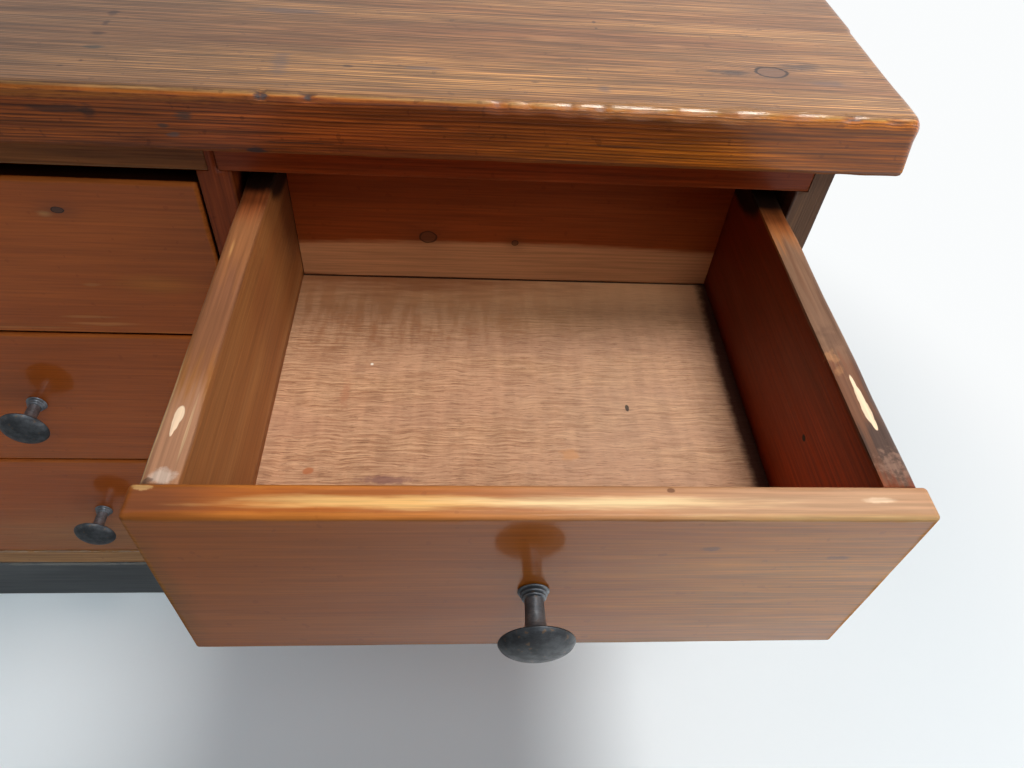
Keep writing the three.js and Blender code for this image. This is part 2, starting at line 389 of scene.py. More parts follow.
ORIGIN = (0.0, 0.0, 0.0)


@dataclass
class Effects:
    """The shader node groups that the finishes share, each built once."""

    timber: bpy.types.NodeTree = field(init=False)
    knot: bpy.types.NodeTree = field(init=False)
    arris: bpy.types.NodeTree = field(init=False)
    wear: bpy.types.NodeTree = field(init=False)
    patch: bpy.types.NodeTree = field(init=False)
    specks: bpy.types.NodeTree = field(init=False)
    veneer: bpy.types.NodeTree = field(init=False)
    turning: bpy.types.NodeTree = field(init=False)

    def __post_init__(self) -> None:
        """Builds every group."""
        for effect in fields(self):
            setattr(self, effect.name, getattr(self, "build_" + effect.name)())

    @staticmethod
    def build_timber() -> bpy.types.NodeTree:
        """Returns growth rings around a pith that runs beside the board, with fibres and pores."""
        defaults = {
            "Place": ORIGIN, "Pith": ORIGIN, "Seed": 0.0, "Pitch": 0.003, "Warp": 0.02, "Lift": 0.0,
            "Uneven": 3.0, "Start": 0.2,
        }
        g = Effect("growth_rings", defaults, ("Late", "Fibre", "Tone", "Pores"))
        seed = g.inputs["Seed"]
        offset = g.vector("SCALE", (1.7, 0.93, 1.31), seed)
        place = g.vector("ADD", g.inputs["Place"], offset)
        beside = g.vector("SUBTRACT", g.inputs["Place"], g.inputs["Pith"])
        away = g.vector("MULTIPLY", beside, (0.0, 1.0, 1.0))
        slow = g.math("SUBTRACT", g.cloud(place, (1.5, 7.0, 7.0), 1.5), 0.5)
        ripple = g.math("SUBTRACT", g.cloud(place, (9.0, 50.0, 50.0), 2.0), 0.5)
        sway = g.math("ADD", slow, g.math("MULTIPLY", ripple, 0.07))
        bend = g.math("MULTIPLY", sway, g.inputs["Warp"])
        radius = g.total(g.vector("LENGTH", away), bend, g.inputs["Lift"])
        even = g.math("DIVIDE", radius, g.inputs["Pitch"])
        crowd = g.line_noise(g.math("MULTIPLY", even, 0.23))
        ring = g.math("ADD", even, g.math("MULTIPLY", crowd, g.inputs["Uneven"]))
        phase = g.math("FRACT", ring)
        late = g.math("MULTIPLY", g.ease(phase, g.inputs["Start"], 0.84), g.ease(phase, 0.9, 1.0, 1.0, 0.0))
        shallow = g.math("SUBTRACT", 1.0, g.math("MULTIPLY", g.inputs["Uneven"], 0.26))
        depth = g.ease(g.line_noise(g.math("MULTIPLY", ring, 0.47)), 0.3, 0.68, shallow, 1.0)
        fibre = g.cloud(place, (15.0, 560.0, 560.0), 3.0, 0.6)
        tone = g.cloud(place, (2.6, 30.0, 30.0), 3.0)
        pores = g.ease(g.cloud(place, (36.0, 1500.0, 1500.0), 1.0), 0.62, 0.74)
        return g.give(Late=g.math("MULTIPLY", late, depth), Fibre=fibre, Tone=tone, Pores=pores)

    @staticmethod
    def build_knot() -> bpy.types.NodeTree:
        """Returns a knot: how it lifts the rings round it, its core, its dark rim and its halo."""
        defaults = {"Place": ORIGIN, "Centre": ORIGIN, "Radius": 0.005, "Stretch": 1.5, "Wobble": 0.3}
        g = Effect("knot", defaults, ("Lift", "Core", "Rim", "Halo"))
        along, across, _ = g.split(g.vector("SUBTRACT", g.inputs["Place"], g.inputs["Centre"]))
        flat = g.join(g.math("DIVIDE", along, g.inputs["Stretch"]), across, 0.0)
        shake = g.math("SUBTRACT", g.cloud(g.inputs["Place"], (160.0, 260.0, 260.0), 2.0), 0.5)
        reach = g.math("DIVIDE", g.vector("LENGTH", flat), g.inputs["Radius"])
        near = g.math("ADD", reach, g.math("MULTIPLY", shake, g.inputs["Wobble"]))
        fade = g.math("EXPONENT", g.math("MULTIPLY", g.math("POWER", reach, 2.0), -0.11))
        rim = g.math("MULTIPLY", g.ease(near, 0.80, 0.91), g.ease(near, 1.0, 1.13, 1.0, 0.0))
        lift = g.math("MULTIPLY", g.math("MULTIPLY", fade, g.inputs["Radius"]), 0.9)
        return g.give(Lift=lift, Core=g.ease(near, 0.8, 1.05, 1.0, 0.0), Rim=rim, Halo=fade)

    @staticmethod
    def build_arris() -> bpy.types.NodeTree:
        """Returns how far a point on a box is from the nearest edge of its face."""
        g = Effect("arris_reach", {"Place": ORIGIN, "Low": ORIGIN, "High": ORIGIN}, ("Reach",))
        from_low = g.vector("SUBTRACT", g.inputs["Place"], g.inputs["Low"])
        from_high = g.vector("SUBTRACT", g.inputs["High"], g.inputs["Place"])
        x, y, z = g.split(g.vector("MINIMUM", from_low, from_high))
        between = g.math("MINIMUM", g.math("MAXIMUM", x, y), z)
        return g.give(Reach=g.math("MAXIMUM", g.math("MINIMUM", x, y), between))

    @staticmethod
    def build_wear() -> bpy.types.NodeTree:
        """Returns a mask that eats unevenly into a board from its edges."""
        defaults = {"Place": ORIGIN, "Reach": 0.01, "Width": 0.003, "Grit": 60.0, "Thin": 0.15, "Wide": 1.9}
        g = Effect("arris_wear", defaults, ("Mask",))
        place = g.vector("SCALE", g.inputs["Place"], g.inputs["Grit"])
        bite = g.cloud(place, (1.0, 1.0, 1.0), 4.0, 0.62)
        spread = g.ease(bite, 0.34, 0.68, g.inputs["Thin"], g.inputs["Wide"])
        eaten = g.math("DIVIDE", g.inputs["Reach"], g.math("MULTIPLY", g.inputs["Width"], spread))
        return g.give(Mask=g.ease(eaten, 0.55, 1.1, 1.0, 0.0))

    @staticmethod
    def build_patch() -> bpy.types.NodeTree:
        """Returns one soft or torn patch around a centre."""
        defaults = {
            "Place": ORIGIN, "Centre": ORIGIN, "Half": (0.01, 0.01, 0.01), "Fray": (200.0, 200.0, 200.0),
            "Torn": 0.4, "Soft": 0.3,
        }
        g = Effect("patch", defaults, ("Mask",))
        away = g.vector("SUBTRACT", g.inputs["Place"], g.inputs["Centre"])
        reach = g.vector("LENGTH", g.vector("DIVIDE", away, g.inputs["Half"]))
        tear = g.cloud(g.vector("MULTIPLY", g.inputs["Place"], g.inputs["Fray"]), (1.0, 1.0, 1.0), 3.0, 0.6)
        torn = g.math("MULTIPLY", g.math("SUBTRACT", tear, 0.5), g.math("MULTIPLY", g.inputs["Torn"], 2.0))
        start = g.math("SUBTRACT", 1.0, g.inputs["Soft"])
        return g.give(Mask=g.ease(g.math("ADD", reach, torn), start, 1.0, 1.0, 0.0))

    @staticmethod
    def build_specks() -> bpy.types.NodeTree:
        """Returns scattered specks of one size."""
        defaults = {"Place": ORIGIN, "Scale": 200.0, "Edge": 0.7}
        g = Effect("specks", defaults, ("Mask",))
        grit = g.cloud(g.vector("SCALE", g.inputs["Place"], g.inputs["Scale"]), (1.0, 1.0, 1.0), 1.5)
        return g.give(Mask=g.ease(grit, g.inputs["Edge"], g.math("ADD", g.inputs["Edge"], 0.05)))

    @staticmethod
    def build_veneer() -> bpy.types.NodeTree:
        """Returns a peeled hardwood veneer: wavy lines, short dark pores, and ribbon across them."""
        g = Effect("veneer", {"Place": ORIGIN, "Seed": 0.0}, ("Lines", "Pores", "Ribbon", "Tone"))
        shifted = g.vector("ADD", g.inputs["Place"], g.vector("SCALE", (0.77, 1.9, 0.4), g.inputs["Seed"]))
        wave = g.math("SUBTRACT", g.cloud(shifted, (48.0, 38.0, 1.0), 2.0), 0.5)
        along, across, _ = g.split(shifted)
        bent = g.join(along, g.math("ADD", across, g.math("MULTIPLY", wave, 0.005)), 0.0)
        lines = g.cloud(bent, (30.0, 600.0, 1.0), 5.0, 0.78)
        pores = g.ease(g.cloud(bent, (85.0, 1250.0, 1.0), 3.0, 0.65), 0.55, 0.64)
        ribbon = g.cloud(shifted, (110.0, 22.0, 1.0), 3.0)
        tone = g.cloud(shifted, (9.0, 26.0, 1.0), 2.0)
        return g.give(Lines=lines, Pores=pores, Ribbon=ribbon, Tone=tone)

    @staticmethod
    def build_turning() -> bpy.types.NodeTree:
        """Returns the marks of turning round an axis along Y, with mottling and rubbed spots."""
        outputs = ("Rings", "Mottle", "Rubbed", "Hairs", "Slim")
        g = Effect("turning", {"Place": ORIGIN, "Axis": ORIGIN}, outputs)
        away = g.vector("SUBTRACT", g.inputs["Place"], g.inputs["Axis"])
        x, y, z = g.split(away)
        radius = g.vector("LENGTH", g.join(x, 0.0, z))
        rings = g.line_noise(g.math("MULTIPLY", g.math("ADD", radius, y), 2600.0), 1.0)
        mottle = g.cloud(away, (170.0, 170.0, 170.0), 4.0, 0.62)
        rubbed = g.ease(g.cloud(away, (330.0, 330.0, 330.0), 2.0), 0.62, 0.7)
        turned = g.node("ShaderNodeVectorRotate", rotation_type="Y_AXIS")
        g.feed(turned.inputs["Vector"], away)
        turned.inputs["Angle"].default_value = 0.7
        hairs = g.ease(g.cloud(turned.outputs[0], (90.0, 1200.0, 2600.0), 1.0), 0.64, 0.7)
        slim = g.math("MULTIPLY", g.ease(radius, 0.009, 0.012, 1.0, 0.0), g.ease(y, -0.0235, -0.0205))
        return g.give(Rings=rings, Mottle=mottle, Rubbed=rubbed, Hairs=hairs, Slim=slim)


EFFECTS = Effects()


# ---- Marks ----------------------------------------------------------------------------------


EVEN = (200.0, 200.0, 200.0)
ALONG_X = (25.0, 300.0, 300.0)
ALONG_Y = (300.0, 25.0, 300.0)

CREAM = tint(0.86, 0.62, 0.42)
STRAW = tint(0.88, 0.50, 0.17)
FLAME = tint(0.60, 0.26, 0.06)
SOOT = tint(0.055, 0.030, 0.022)
SHADE = tint(0.004, 0.002, 0.0015)


@dataclass(frozen=True)
class Mark:
    """A mark on a board, which is a stain, a worn place, painted shade or painted light: where it is, its
    half-size, and its colour.

    Its edge is torn by noise, whose cycles for each metre along each axis are its fray.
    """

    centre: Triple
    half: Triple
    colour: Colour
    strength: float = 1.0
    torn: float = 0.4
    soft: float = 0.35
    fray: Triple = EVEN
    blend: str = "MIX"
    varnish: float = 1.0
    polish: float = 0.0

    def mask(self, graph: Graph, spot: bpy.types.NodeSocket) -> bpy.types.NodeSocket:
        """Adds the mark's patch to a finish.

        Args:
            graph: The material's graph.
            spot: The position on the board.

        Returns:
            How much of the mark shows.
        """
        patch = graph.place(
            EFFECTS.patch, Place=spot, Centre=self.centre, Half=self.half, Fray=self.fray,
            Torn=self.torn, Soft=self.soft,
        )
        return patch["Mask"]


@dataclass(frozen=True)
class Face:
    """A flat face that marks lie on: the axis that it faces along, and its place on that axis."""

    axis: int
    level: float
    depth: float
    fray: Triple

    def mark(
        self, place: Pair, half: Pair, colour: Colour, strength: float = 1.0, torn: float = 0.4,
        soft: float = 0.35, **changes: object,
    ) -> Mark:
        """Returns a mark on the face.

        Args:
            place: Its place along the face's own two axes.
            half: Its half-size along them.
            colour: Its colour.
            strength: How much of its colour shows.
            torn: How torn its edge is.
            soft: How much of it its soft edge takes up.
            **changes: Its level or depth if not the face's own, and anything else about it.

        Returns:
            The mark.
        """
        centre, size = list(place), list(half)
        centre.insert(self.axis, changes.pop("level", self.level))
        size.insert(self.axis, changes.pop("depth", self.depth))
        changes.setdefault("fray", self.fray)
        return Mark(tuple(centre), tuple(size), colour, strength, torn, soft, **changes)

    def wash(
        self, place: Pair, half: Pair, gains: Triple, torn: float, soft: float, **changes: object,
    ) -> Mark:
        """Returns a mark that makes red, green and blue stronger or weaker.

        Args:
            place: Its place along the face's own two axes.
            half: Its half-size along them.
            gains: What the three are multiplied with.
            torn: How torn its edge is.
            soft: How much of it its soft edge takes up.
            **changes: Anything else about it.

        Returns:
            The mark.
        """
        return self.mark(place, half, tint(*gains), 1.0, torn, soft, blend="MULTIPLY", **changes)

    def chip(self, place: Pair, half: Pair, torn: float) -> Mark:
        """Returns a chip that shows fresh wood."""
        return self.mark(place, half, CREAM, 1.0, torn, 0.2, varnish=0.0)


@dataclass(frozen=True)
class Knot:
    """A knot in a board: where it comes out, its radius, and how far it is drawn along the grain."""

    centre: Triple
    radius: float
    stretch: float = 1.5
    core: Colour = tint(0.10, 0.030, 0.012)
    strength: float = 0.8
    rim: Colour = tint(0.02, 0.007, 0.004)


# ---- Finishes -------------------------------------------------------------------------------


def principled(name: str) -> tuple[bpy.types.Material, Graph, bpy.types.Node, bpy.types.NodeSocket]:
    """Starts a material.

    Args:
        name: The material's name.

    Returns:
        The material, its graph, its shader node and the position on the piece.
    """
    material = bpy.data.materials.new(name)
    material.use_nodes = True
    graph = Graph(material.node_tree)
    shader = graph.node("ShaderNodeBsdfPrincipled")
    output = graph.node("ShaderNodeOutputMaterial")
    graph.feed(output.inputs["Surface"], shader.outputs["BSDF"])
    return material, graph, shader, graph.node("ShaderNodeTexCoord").outputs["Object"]


@dataclass(frozen=True)
class Timber:
    """A softwood board under stain and varnish.

    The shares say how much the late wood, the fibres, the slow changes of tone and the pores show.
    """

    early: Colour
    late: Colour
    deep: Colour
    bare: Colour
    late_share: float = 0.6
    fibre_share: float = 0.3
    tone_share: float = 0.5
    pore_share: float = 0.3
    pitch: float = 0.003
    warp: float = 0.03
    uneven: float = 3.0
    band: float = 0.2
    wear: float = 0.0015
    wear_share: float = 0.4
    wear_spread: Pair = (0.3, 1.7)
    roughness: float = 0.42
    varnish: float = 0.5
    worn_varnish: float = 0.1
    varnish_roughness: float = 0.16
    varnish_index: float = 1.5
    sheen_under: float = 0.15
    sheen_tint: Colour = tint(1.0, 1.0, 1.0)
    relief: float = 0.10 * MM

    def toned(self, red: float, green: float, blue: float) -> "Timber":
        """Tones the wood.

        Args:
            red: What its red is multiplied with.
            green: What its green is multiplied with.
            blue: What its blue is multiplied with.

        Returns:
            The same wood with its colours scaled.
        """
        scaled = {
            part: tint(*[level * share for level, share in zip(getattr(self, part), (red, green, blue))])
            for part in ("early", "late", "deep", "bare")
        }
        return replace(self, **scaled)

    def colour_of(
        self, graph: Graph, place: bpy.types.NodeSocket, board: "Board", knots: tuple[Knot, ...],
    ) -> tuple[bpy.types.NodeSocket, bpy.types.bpy_prop_collection, list[bpy.types.bpy_prop_collection]]:
        """Adds the wood itself, before marks and wear.

        Args:
            graph: The material's graph.
            place: The position turned to the board's grain.
            board: The board, which gives the grain, the pith and the seed.
            knots: Its knots.

        Returns:
            The colour, and the outputs of the growth rings and of each knot.
        """
        found = [
            graph.place(
                EFFECTS.knot, Place=place, Centre=board.turned(knot.centre), Radius=knot.radius,
                Stretch=knot.stretch,
            )
            for knot in knots
        ]
        lift = graph.total(*[out["Lift"] for out in found]) if found else 0.0
        rings = graph.place(
            EFFECTS.timber, Place=place, Pith=board.pith, Seed=float(board.seed), Pitch=self.pitch,
            Warp=self.warp, Lift=lift, Uneven=self.uneven, Start=self.band,
        )
        colour = graph.mix(graph.math("MULTIPLY", rings["Late"], self.late_share), self.early, self.late)
        tone = graph.ease(rings["Tone"], 0.3, 0.7, 0.0, self.tone_share)
        colour = graph.mix(tone, colour, self.deep)
        fibre = graph.ease(rings["Fibre"], 0.25, 0.75, 1.0 - self.fibre_share, 1.0 + self.fibre_share)
        colour = graph.shade(colour, fibre)
        colour = graph.mix(graph.math("MULTIPLY", rings["Pores"], self.pore_share), colour, self.late)
        return colour, rings, found

    @staticmethod
    def with_knots(
        graph: Graph, colour: bpy.types.NodeSocket, knots: tuple[Knot, ...],
        found: list[bpy.types.bpy_prop_collection],
    ) -> bpy.types.NodeSocket:
        """Adds the knots' own colours.

        Args:
            graph: The material's graph.
            colour: The colour of the board round them.
            knots: The knots.
            found: The outputs of each knot's effect.

        Returns:
            The colour with the knots in it.
        """
        for knot, out in zip(knots, found):
            halo = graph.math("MULTIPLY", out["Halo"], 0.35 * knot.strength)
            colour = graph.mix(halo, colour, knot.core)
            core = graph.math("MULTIPLY", out["Core"], 0.75 * knot.strength)
            colour = graph.mix(core, colour, knot.core)
            colour = graph.mix(graph.math("MULTIPLY", out["Rim"], knot.strength), colour, knot.rim)
        return colour

    def dress(
        self, name: str, board: "Board", knots: tuple[Knot, ...] = (), marks: tuple[Mark, ...] = (),
    ) -> bpy.types.Material:
        """Makes the finish of one board.

        Args:
            name: The material's name.
            board: The board.
            knots: Its knots.
            marks: Its stains, worn places, painted shade and painted light, later ones over earlier ones.

        Returns:
            The material.
        """
        material, g, shader, spot = principled(name)
        place = board.along_grain(g, spot)
        colour, rings, found = self.colour_of(g, place, board, knots)
        reach = g.place(EFFECTS.arris, Place=spot, Low=board.low, High=board.high)["Reach"]
        thin, wide = self.wear_spread
        eaten = g.place(EFFECTS.wear, Place=spot, Reach=reach, Width=self.wear, Thin=thin, Wide=wide)
        worn = eaten["Mask"]
        rubbed = g.math("MULTIPLY", worn, self.wear_share)
        colour = g.mix(rubbed, colour, g.shade(self.bare, g.ease(rings["Fibre"], 0.25, 0.75, 0.75, 1.25)))
        grime = g.place(EFFECTS.specks, Place=spot, Scale=150.0, Edge=0.69)["Mask"]
        colour = g.mix(g.math("MULTIPLY", grime, 0.35), colour, self.late)
        rough = g.ease(rings["Tone"], 0.3, 0.7, self.roughness - 0.05, self.roughness + 0.07)
        rough = g.math("ADD", rough, g.math("MULTIPLY", worn, 0.25))
        coat = g.ease(worn, 0.0, 1.0, self.varnish, self.worn_varnish * self.varnish)
        for mark in marks:
            mask = mark.mask(g, spot)
            hue = g.shade(mark.colour, g.ease(rings["Fibre"], 0.25, 0.75, 0.82, 1.18))
            colour = g.mix(g.math("MULTIPLY", mask, mark.strength), colour, hue, mark.blend)
            if mark.varnish != 1.0:
                coat = g.math("MULTIPLY", coat, g.ease(mask, 0.0, 1.0, 1.0, mark.varnish))
            if mark.polish:
                rough = g.math("MULTIPLY", rough, g.ease(mask, 0.0, 1.0, 1.0, 1.0 - mark.polish))
        g.feed(shader.inputs["Base Color"], self.with_knots(g, colour, knots, found))
        g.feed(shader.inputs["Roughness"], rough)
        g.feed(shader.inputs["Coat Weight"], coat)
        shader.inputs["Specular IOR Level"].default_value = self.sheen_under
        shader.inputs["Specular Tint"].default_value = self.sheen_tint
        shader.inputs["Coat Roughness"].default_value = self.varnish_roughness
        shader.inputs["Coat IOR"].default_value = self.varnish_index
        height = g.math("SUBTRACT", rings["Late"], g.math("MULTIPLY", rings["Pores"], 0.6))
        height = g.math("ADD", height, g.math("MULTIPLY", rings["Fibre"], 0.8))
        g.relief(shader, height, 0.6, self.relief)
        return material


@dataclass(frozen=True)
class Veneer:
    """A thin matt plywood sheet with short dark pores and a ribbon figure."""

    pale: Colour = tint(0.66, 0.385, 0.215)
    dark: Colour = tint(0.32, 0.140, 0.066)
    blush: Colour = tint(0.50, 0.265, 0.160)
    pore: Colour = tint(0.16, 0.06, 0.03)
    ripple: float = 0.08
    roughness: float = 0.6

    def dress(
        self, name: str, board: "Board", marks: tuple[Mark, ...] = (), figure: Mark | None = None,
    ) -> bpy.types.Material:
        """Makes the finish of one sheet.

        Args:
            name: The material's name.
            board: The sheet.
            marks: Its stains, worn places, painted shade and painted light.
            figure: Where a ribbon figure crosses the grain, if anywhere.

        Returns:
            The material.
        """
        material, g, shader, spot = principled(name)
        place = board.along_grain(g, spot)
        sheet = g.place(EFFECTS.veneer, Place=place, Seed=float(board.seed))
        colour = g.mix(g.ease(sheet["Lines"], 0.34, 0.66), self.dark, self.pale)
        colour = g.mix(g.ease(sheet["Tone"], 0.3, 0.7, 0.0, 0.55), colour, self.blush)
        colour = g.shade(colour, g.ease(sheet["Ribbon"], 0.3, 0.7, 1.0 + self.ripple, 1.0 - self.ripple))
        if figure:
            ribbon = g.ease(sheet["Ribbon"], 0.36, 0.6, 0.0, figure.strength)
            colour = g.mix(g.math("MULTIPLY", ribbon, figure.mask(g, spot)), colour, figure.colour)
        colour = g.mix(g.math("MULTIPLY", sheet["Pores"], 0.55), colour, self.pore)
        for mark in marks:
            colour = g.mix(g.math("MULTIPLY", mark.mask(g, spot), mark.strength), colour, mark.colour)
        g.feed(shader.inputs["Base Color"], colour)
        shader.inputs["Specular IOR Level"].default_value = 0.2
        rough = g.ease(sheet["Lines"], 0.3, 0.7, self.roughness + 0.1, self.roughness)
        g.feed(shader.inputs["Roughness"], rough)
        g.relief(shader, g.math("SUBTRACT", sheet["Lines"], sheet["Pores"]), 0.7, 0.12 * MM)
        return material


@dataclass(frozen=True)
class Paint:
    """Thin dark paint on a board, brushed along it and worn at the arrises."""

    coat: Colour = tint(0.088, 0.094, 0.096)
    under: Colour = tint(0.050, 0.053, 0.056)
    bare: Colour = tint(0.16, 0.15, 0.13)
    roughness: float = 0.5

    def dress(self, name: str, board: "Board") -> bpy.types.Material:
        """Makes the finish of one painted board.

        Args:
            name: The material's name.
            board: The board.

        Returns:
            The material.
        """
        material, g, shader, spot = principled(name)
        place = board.along_grain(g, spot)
        brush = g.cloud(place, (12.0, 420.0, 420.0), 3.0, 0.6)
        cloudy = g.cloud(place, (9.0, 22.0, 22.0), 2.0)
        colour = g.mix(g.ease(g.total(brush, cloudy), 0.75, 1.25), self.under, self.coat)
        reach = g.place(EFFECTS.arris, Place=spot, Low=board.low, High=board.high)["Reach"]
        worn = g.place(EFFECTS.wear, Place=spot, Reach=reach, Width=0.0022, Grit=45.0)["Mask"]
        colour = g.mix(g.math("MULTIPLY", worn, 0.6), colour, self.bare)
        chips = g.place(EFFECTS.specks, Place=spot, Scale=95.0, Edge=0.715)["Mask"]
        colour = g.mix(g.math("MULTIPLY", chips, 0.5), colour, self.bare)
        g.feed(shader.inputs["Base Color"], colour)
        rough = g.ease(cloudy, 0.3, 0.7, self.roughness - 0.1, self.roughness + 0.12)
        g.feed(shader.inputs["Roughness"], rough)
        g.relief(shader, g.math("SUBTRACT", brush, chips), 0.5, 0.10 * MM)
        return material


@dataclass(frozen=True)
class Pewter:
    """Darkened cast metal with rubbed spots and scratches, its stem and foot painted lighter as a painted
    sheen.
    """

    dark: Colour = tint(0.024, 0.026, 0.029)
    light: Colour = tint(0.054, 0.058, 0.063)
    rust: Colour = tint(0.16, 0.085, 0.035)
    handled: float = 1.9
    roughness: float = 0.33

    def toned(self, gain: float) -> "Pewter":
        """Returns the same metal, lighter by a factor."""
        dark, light = (tint(*(part * gain for part in colour[:3])) for colour in (self.dark, self.light))
        return replace(self, dark=dark, light=light)

    def dress(self, name: str, axis: Vector) -> bpy.types.Material:
        """Makes the finish of one turned piece.

        Args:
            name: The material's name.
            axis: A point on the axis that it is turned round.

        Returns:
            The material.
        """
        material, g, shader, spot = principled(name)
        turned = g.place(EFFECTS.turning, Place=spot, Axis=axis)
        colour = g.mix(g.ease(turned["Mottle"], 0.34, 0.7), self.dark, self.light)
        colour = g.shade(colour, g.ease(turned["Rings"], 0.3, 0.7, 0.85, 1.15))
        # Painted sheen: the stem and foot are made lighter.
        colour = g.shade(colour, g.math("MULTIPLY_ADD", turned["Slim"], self.handled, 1.0))
        colour = g.mix(g.math("MULTIPLY", turned["Rubbed"], 0.5), colour, self.rust)
        colour = g.mix(g.math("MULTIPLY", turned["Hairs"], 0.35), colour, self.light)
        g.feed(shader.inputs["Base Color"], colour)
        shader.inputs["Metallic"].default_value = 0.75
        rough = g.ease(turned["Mottle"], 0.3, 0.7, self.roughness + 0.14, self.roughness)
        g.feed(shader.inputs["Roughness"], rough)
        height = g.math("ADD", turned["Mottle"], g.math("MULTIPLY", turned["Rings"], 0.4))
        height = g.math("SUBTRACT", height, g.math("MULTIPLY", turned["Hairs"], 0.3))
        g.relief(shader, height, 0.35, 0.05 * MM)
        return material


FRONT_WOOD = Timber(
    early=tint(0.430, 0.111, 0.0105), late=tint(0.24, 0.048, 0.004), deep=tint(0.325, 0.074, 0.0065),
    bare=tint(0.56, 0.22, 0.055), late_share=0.27, fibre_share=0.15, tone_share=0.55, varnish=0.62,
    varnish_roughness=0.12, varnish_index=1.55, roughness=0.38, wear=0.0034, wear_share=0.35,
    wear_spread=(0.85, 1.15), relief=0.04 * MM, pitch=0.0042, sheen_under=0.1, uneven=3.5,
    sheen_tint=tint(1.0, 0.80, 0.50),
)
BOX_WOOD = Timber(
    early=tint(0.24, 0.083, 0.022), late=tint(0.14, 0.037, 0.008), deep=tint(0.172, 0.047, 0.0115),
    bare=tint(0.42, 0.20, 0.08), late_share=0.28, fibre_share=0.18, tone_share=0.75, varnish=0.10,
    varnish_roughness=0.3, roughness=0.55, wear=0.0016, wear_share=0.12, pitch=0.0065, warp=0.06,
    sheen_under=0.2, sheen_tint=tint(1.0, 0.78, 0.55),
)
# Painted light and painted shade: the left sides of the boxes take a lighter copy of the box wood, the right
# sides a darker, redder copy.
BOX_WOOD_PAINTED_LIGHT = BOX_WOOD.toned(1.60, 1.95, 2.2)
BOX_WOOD_PAINTED_SHADE = BOX_WOOD.toned(0.75, 0.29, 0.14)
BOX_BACK_WOOD = BOX_WOOD.toned(1.15, 0.68, 0.45)
CARCASS_WOOD = Timber(
    early=tint(0.335, 0.062, 0.0105), late=tint(0.150, 0.0225, 0.0047), deep=tint(0.22, 0.035, 0.0063),
    bare=tint(0.28, 0.10, 0.04), late_share=0.4, varnish=0.2, varnish_roughness=0.25, roughness=0.5,
    wear=0.0015, wear_share=0.3, sheen_under=0.08,
)
GREYED_WOOD = CARCASS_WOOD.toned(0.58, 1.6, 4.4)
DUSTY_WOOD = CARCASS_WOOD.toned(0.95, 1.7, 2.3)
FADED_WOOD = CARCASS_WOOD.toned(1.38, 3.85, 9.2)
RUNNER_WOOD = Timber(
    early=tint(0.56, 0.36, 0.18), late=tint(0.32, 0.16, 0.07), deep=tint(0.44, 0.26, 0.12),
    bare=tint(0.62, 0.44, 0.26), late_share=0.6, varnish=0.0, roughness=0.6, relief=0.12 * MM,
)
PLANK_WOOD = Timber(
    early=tint(0.50, 0.135, 0.020), late=tint(0.060, 0.010, 0.003), deep=tint(0.150, 0.029, 0.006),
    bare=tint(0.50, 0.155, 0.024), late_share=0.9, fibre_share=0.40, tone_share=0.85, pore_share=0.6,
    pitch=0.00162, warp=0.026, uneven=1.3, band=0.34, wear=0.0030, wear_share=0.7,
    wear_spread=(0.75, 1.25), roughness=0.42, varnish=0.38, worn_varnish=0.15, varnish_roughness=0.22,
    relief=0.22 * MM, sheen_under=0.28, sheen_tint=tint(1.0, 0.9, 0.75),
)
BASE_VENEER = Veneer()
BACK_SHEET = Veneer(
    pale=tint(0.52, 0.34, 0.19), dark=tint(0.34, 0.19, 0.095), blush=tint(0.50, 0.30, 0.16),
    pore=tint(0.20, 0.10, 0.05),
)
PLINTH_PAINT = Paint()
KNOB_METAL = Pewter()


# ---- Pieces ---------------------------------------------------------------------------------


def weld(mesh: bpy.types.Mesh) -> bpy.types.Mesh:
    """Joins a mesh's split corners.

    Args:
        mesh: The mesh, which stays as it is.

    Returns:
        A joined copy.
    """
    work = bmesh.new()
    work.from_mesh(mesh)
    bmesh.ops.remove_doubles(work, verts=work.verts, dist=1e-6)
    welded = bpy.data.meshes.new(mesh.name + "_welded")
    work.to_mesh(welded)
    work.free()
    return welded


def smooth(mesh: bpy.types.Mesh, angle: float = 32.0) -> None:
    """Shades a mesh smooth, with edges sharper than an angle in degrees left crisp."""
    mesh.shade_smooth()
    mesh.set_sharp_from_angle(angle=math.radians(angle))


def add_piece(
    name: str, mesh: bpy.types.Mesh, nodes: tuple[str, ...], body: str | None = None,
    slot: str | None = None,
) -> bpy.types.Object:
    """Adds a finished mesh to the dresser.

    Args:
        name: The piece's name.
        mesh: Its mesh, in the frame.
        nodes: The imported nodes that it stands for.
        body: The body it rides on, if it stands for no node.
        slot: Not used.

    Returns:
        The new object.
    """
    piece = bpy.data.objects.new(name, mesh)
    bpy.context.scene.collection.objects.link(piece)
    if nodes:
        twin = frame["nodes"][nodes[0]]
        body = body or twin["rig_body"]
        slot = slot or twin.data.materials[0].name
        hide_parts(*nodes)
    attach(piece, body)
    return piece


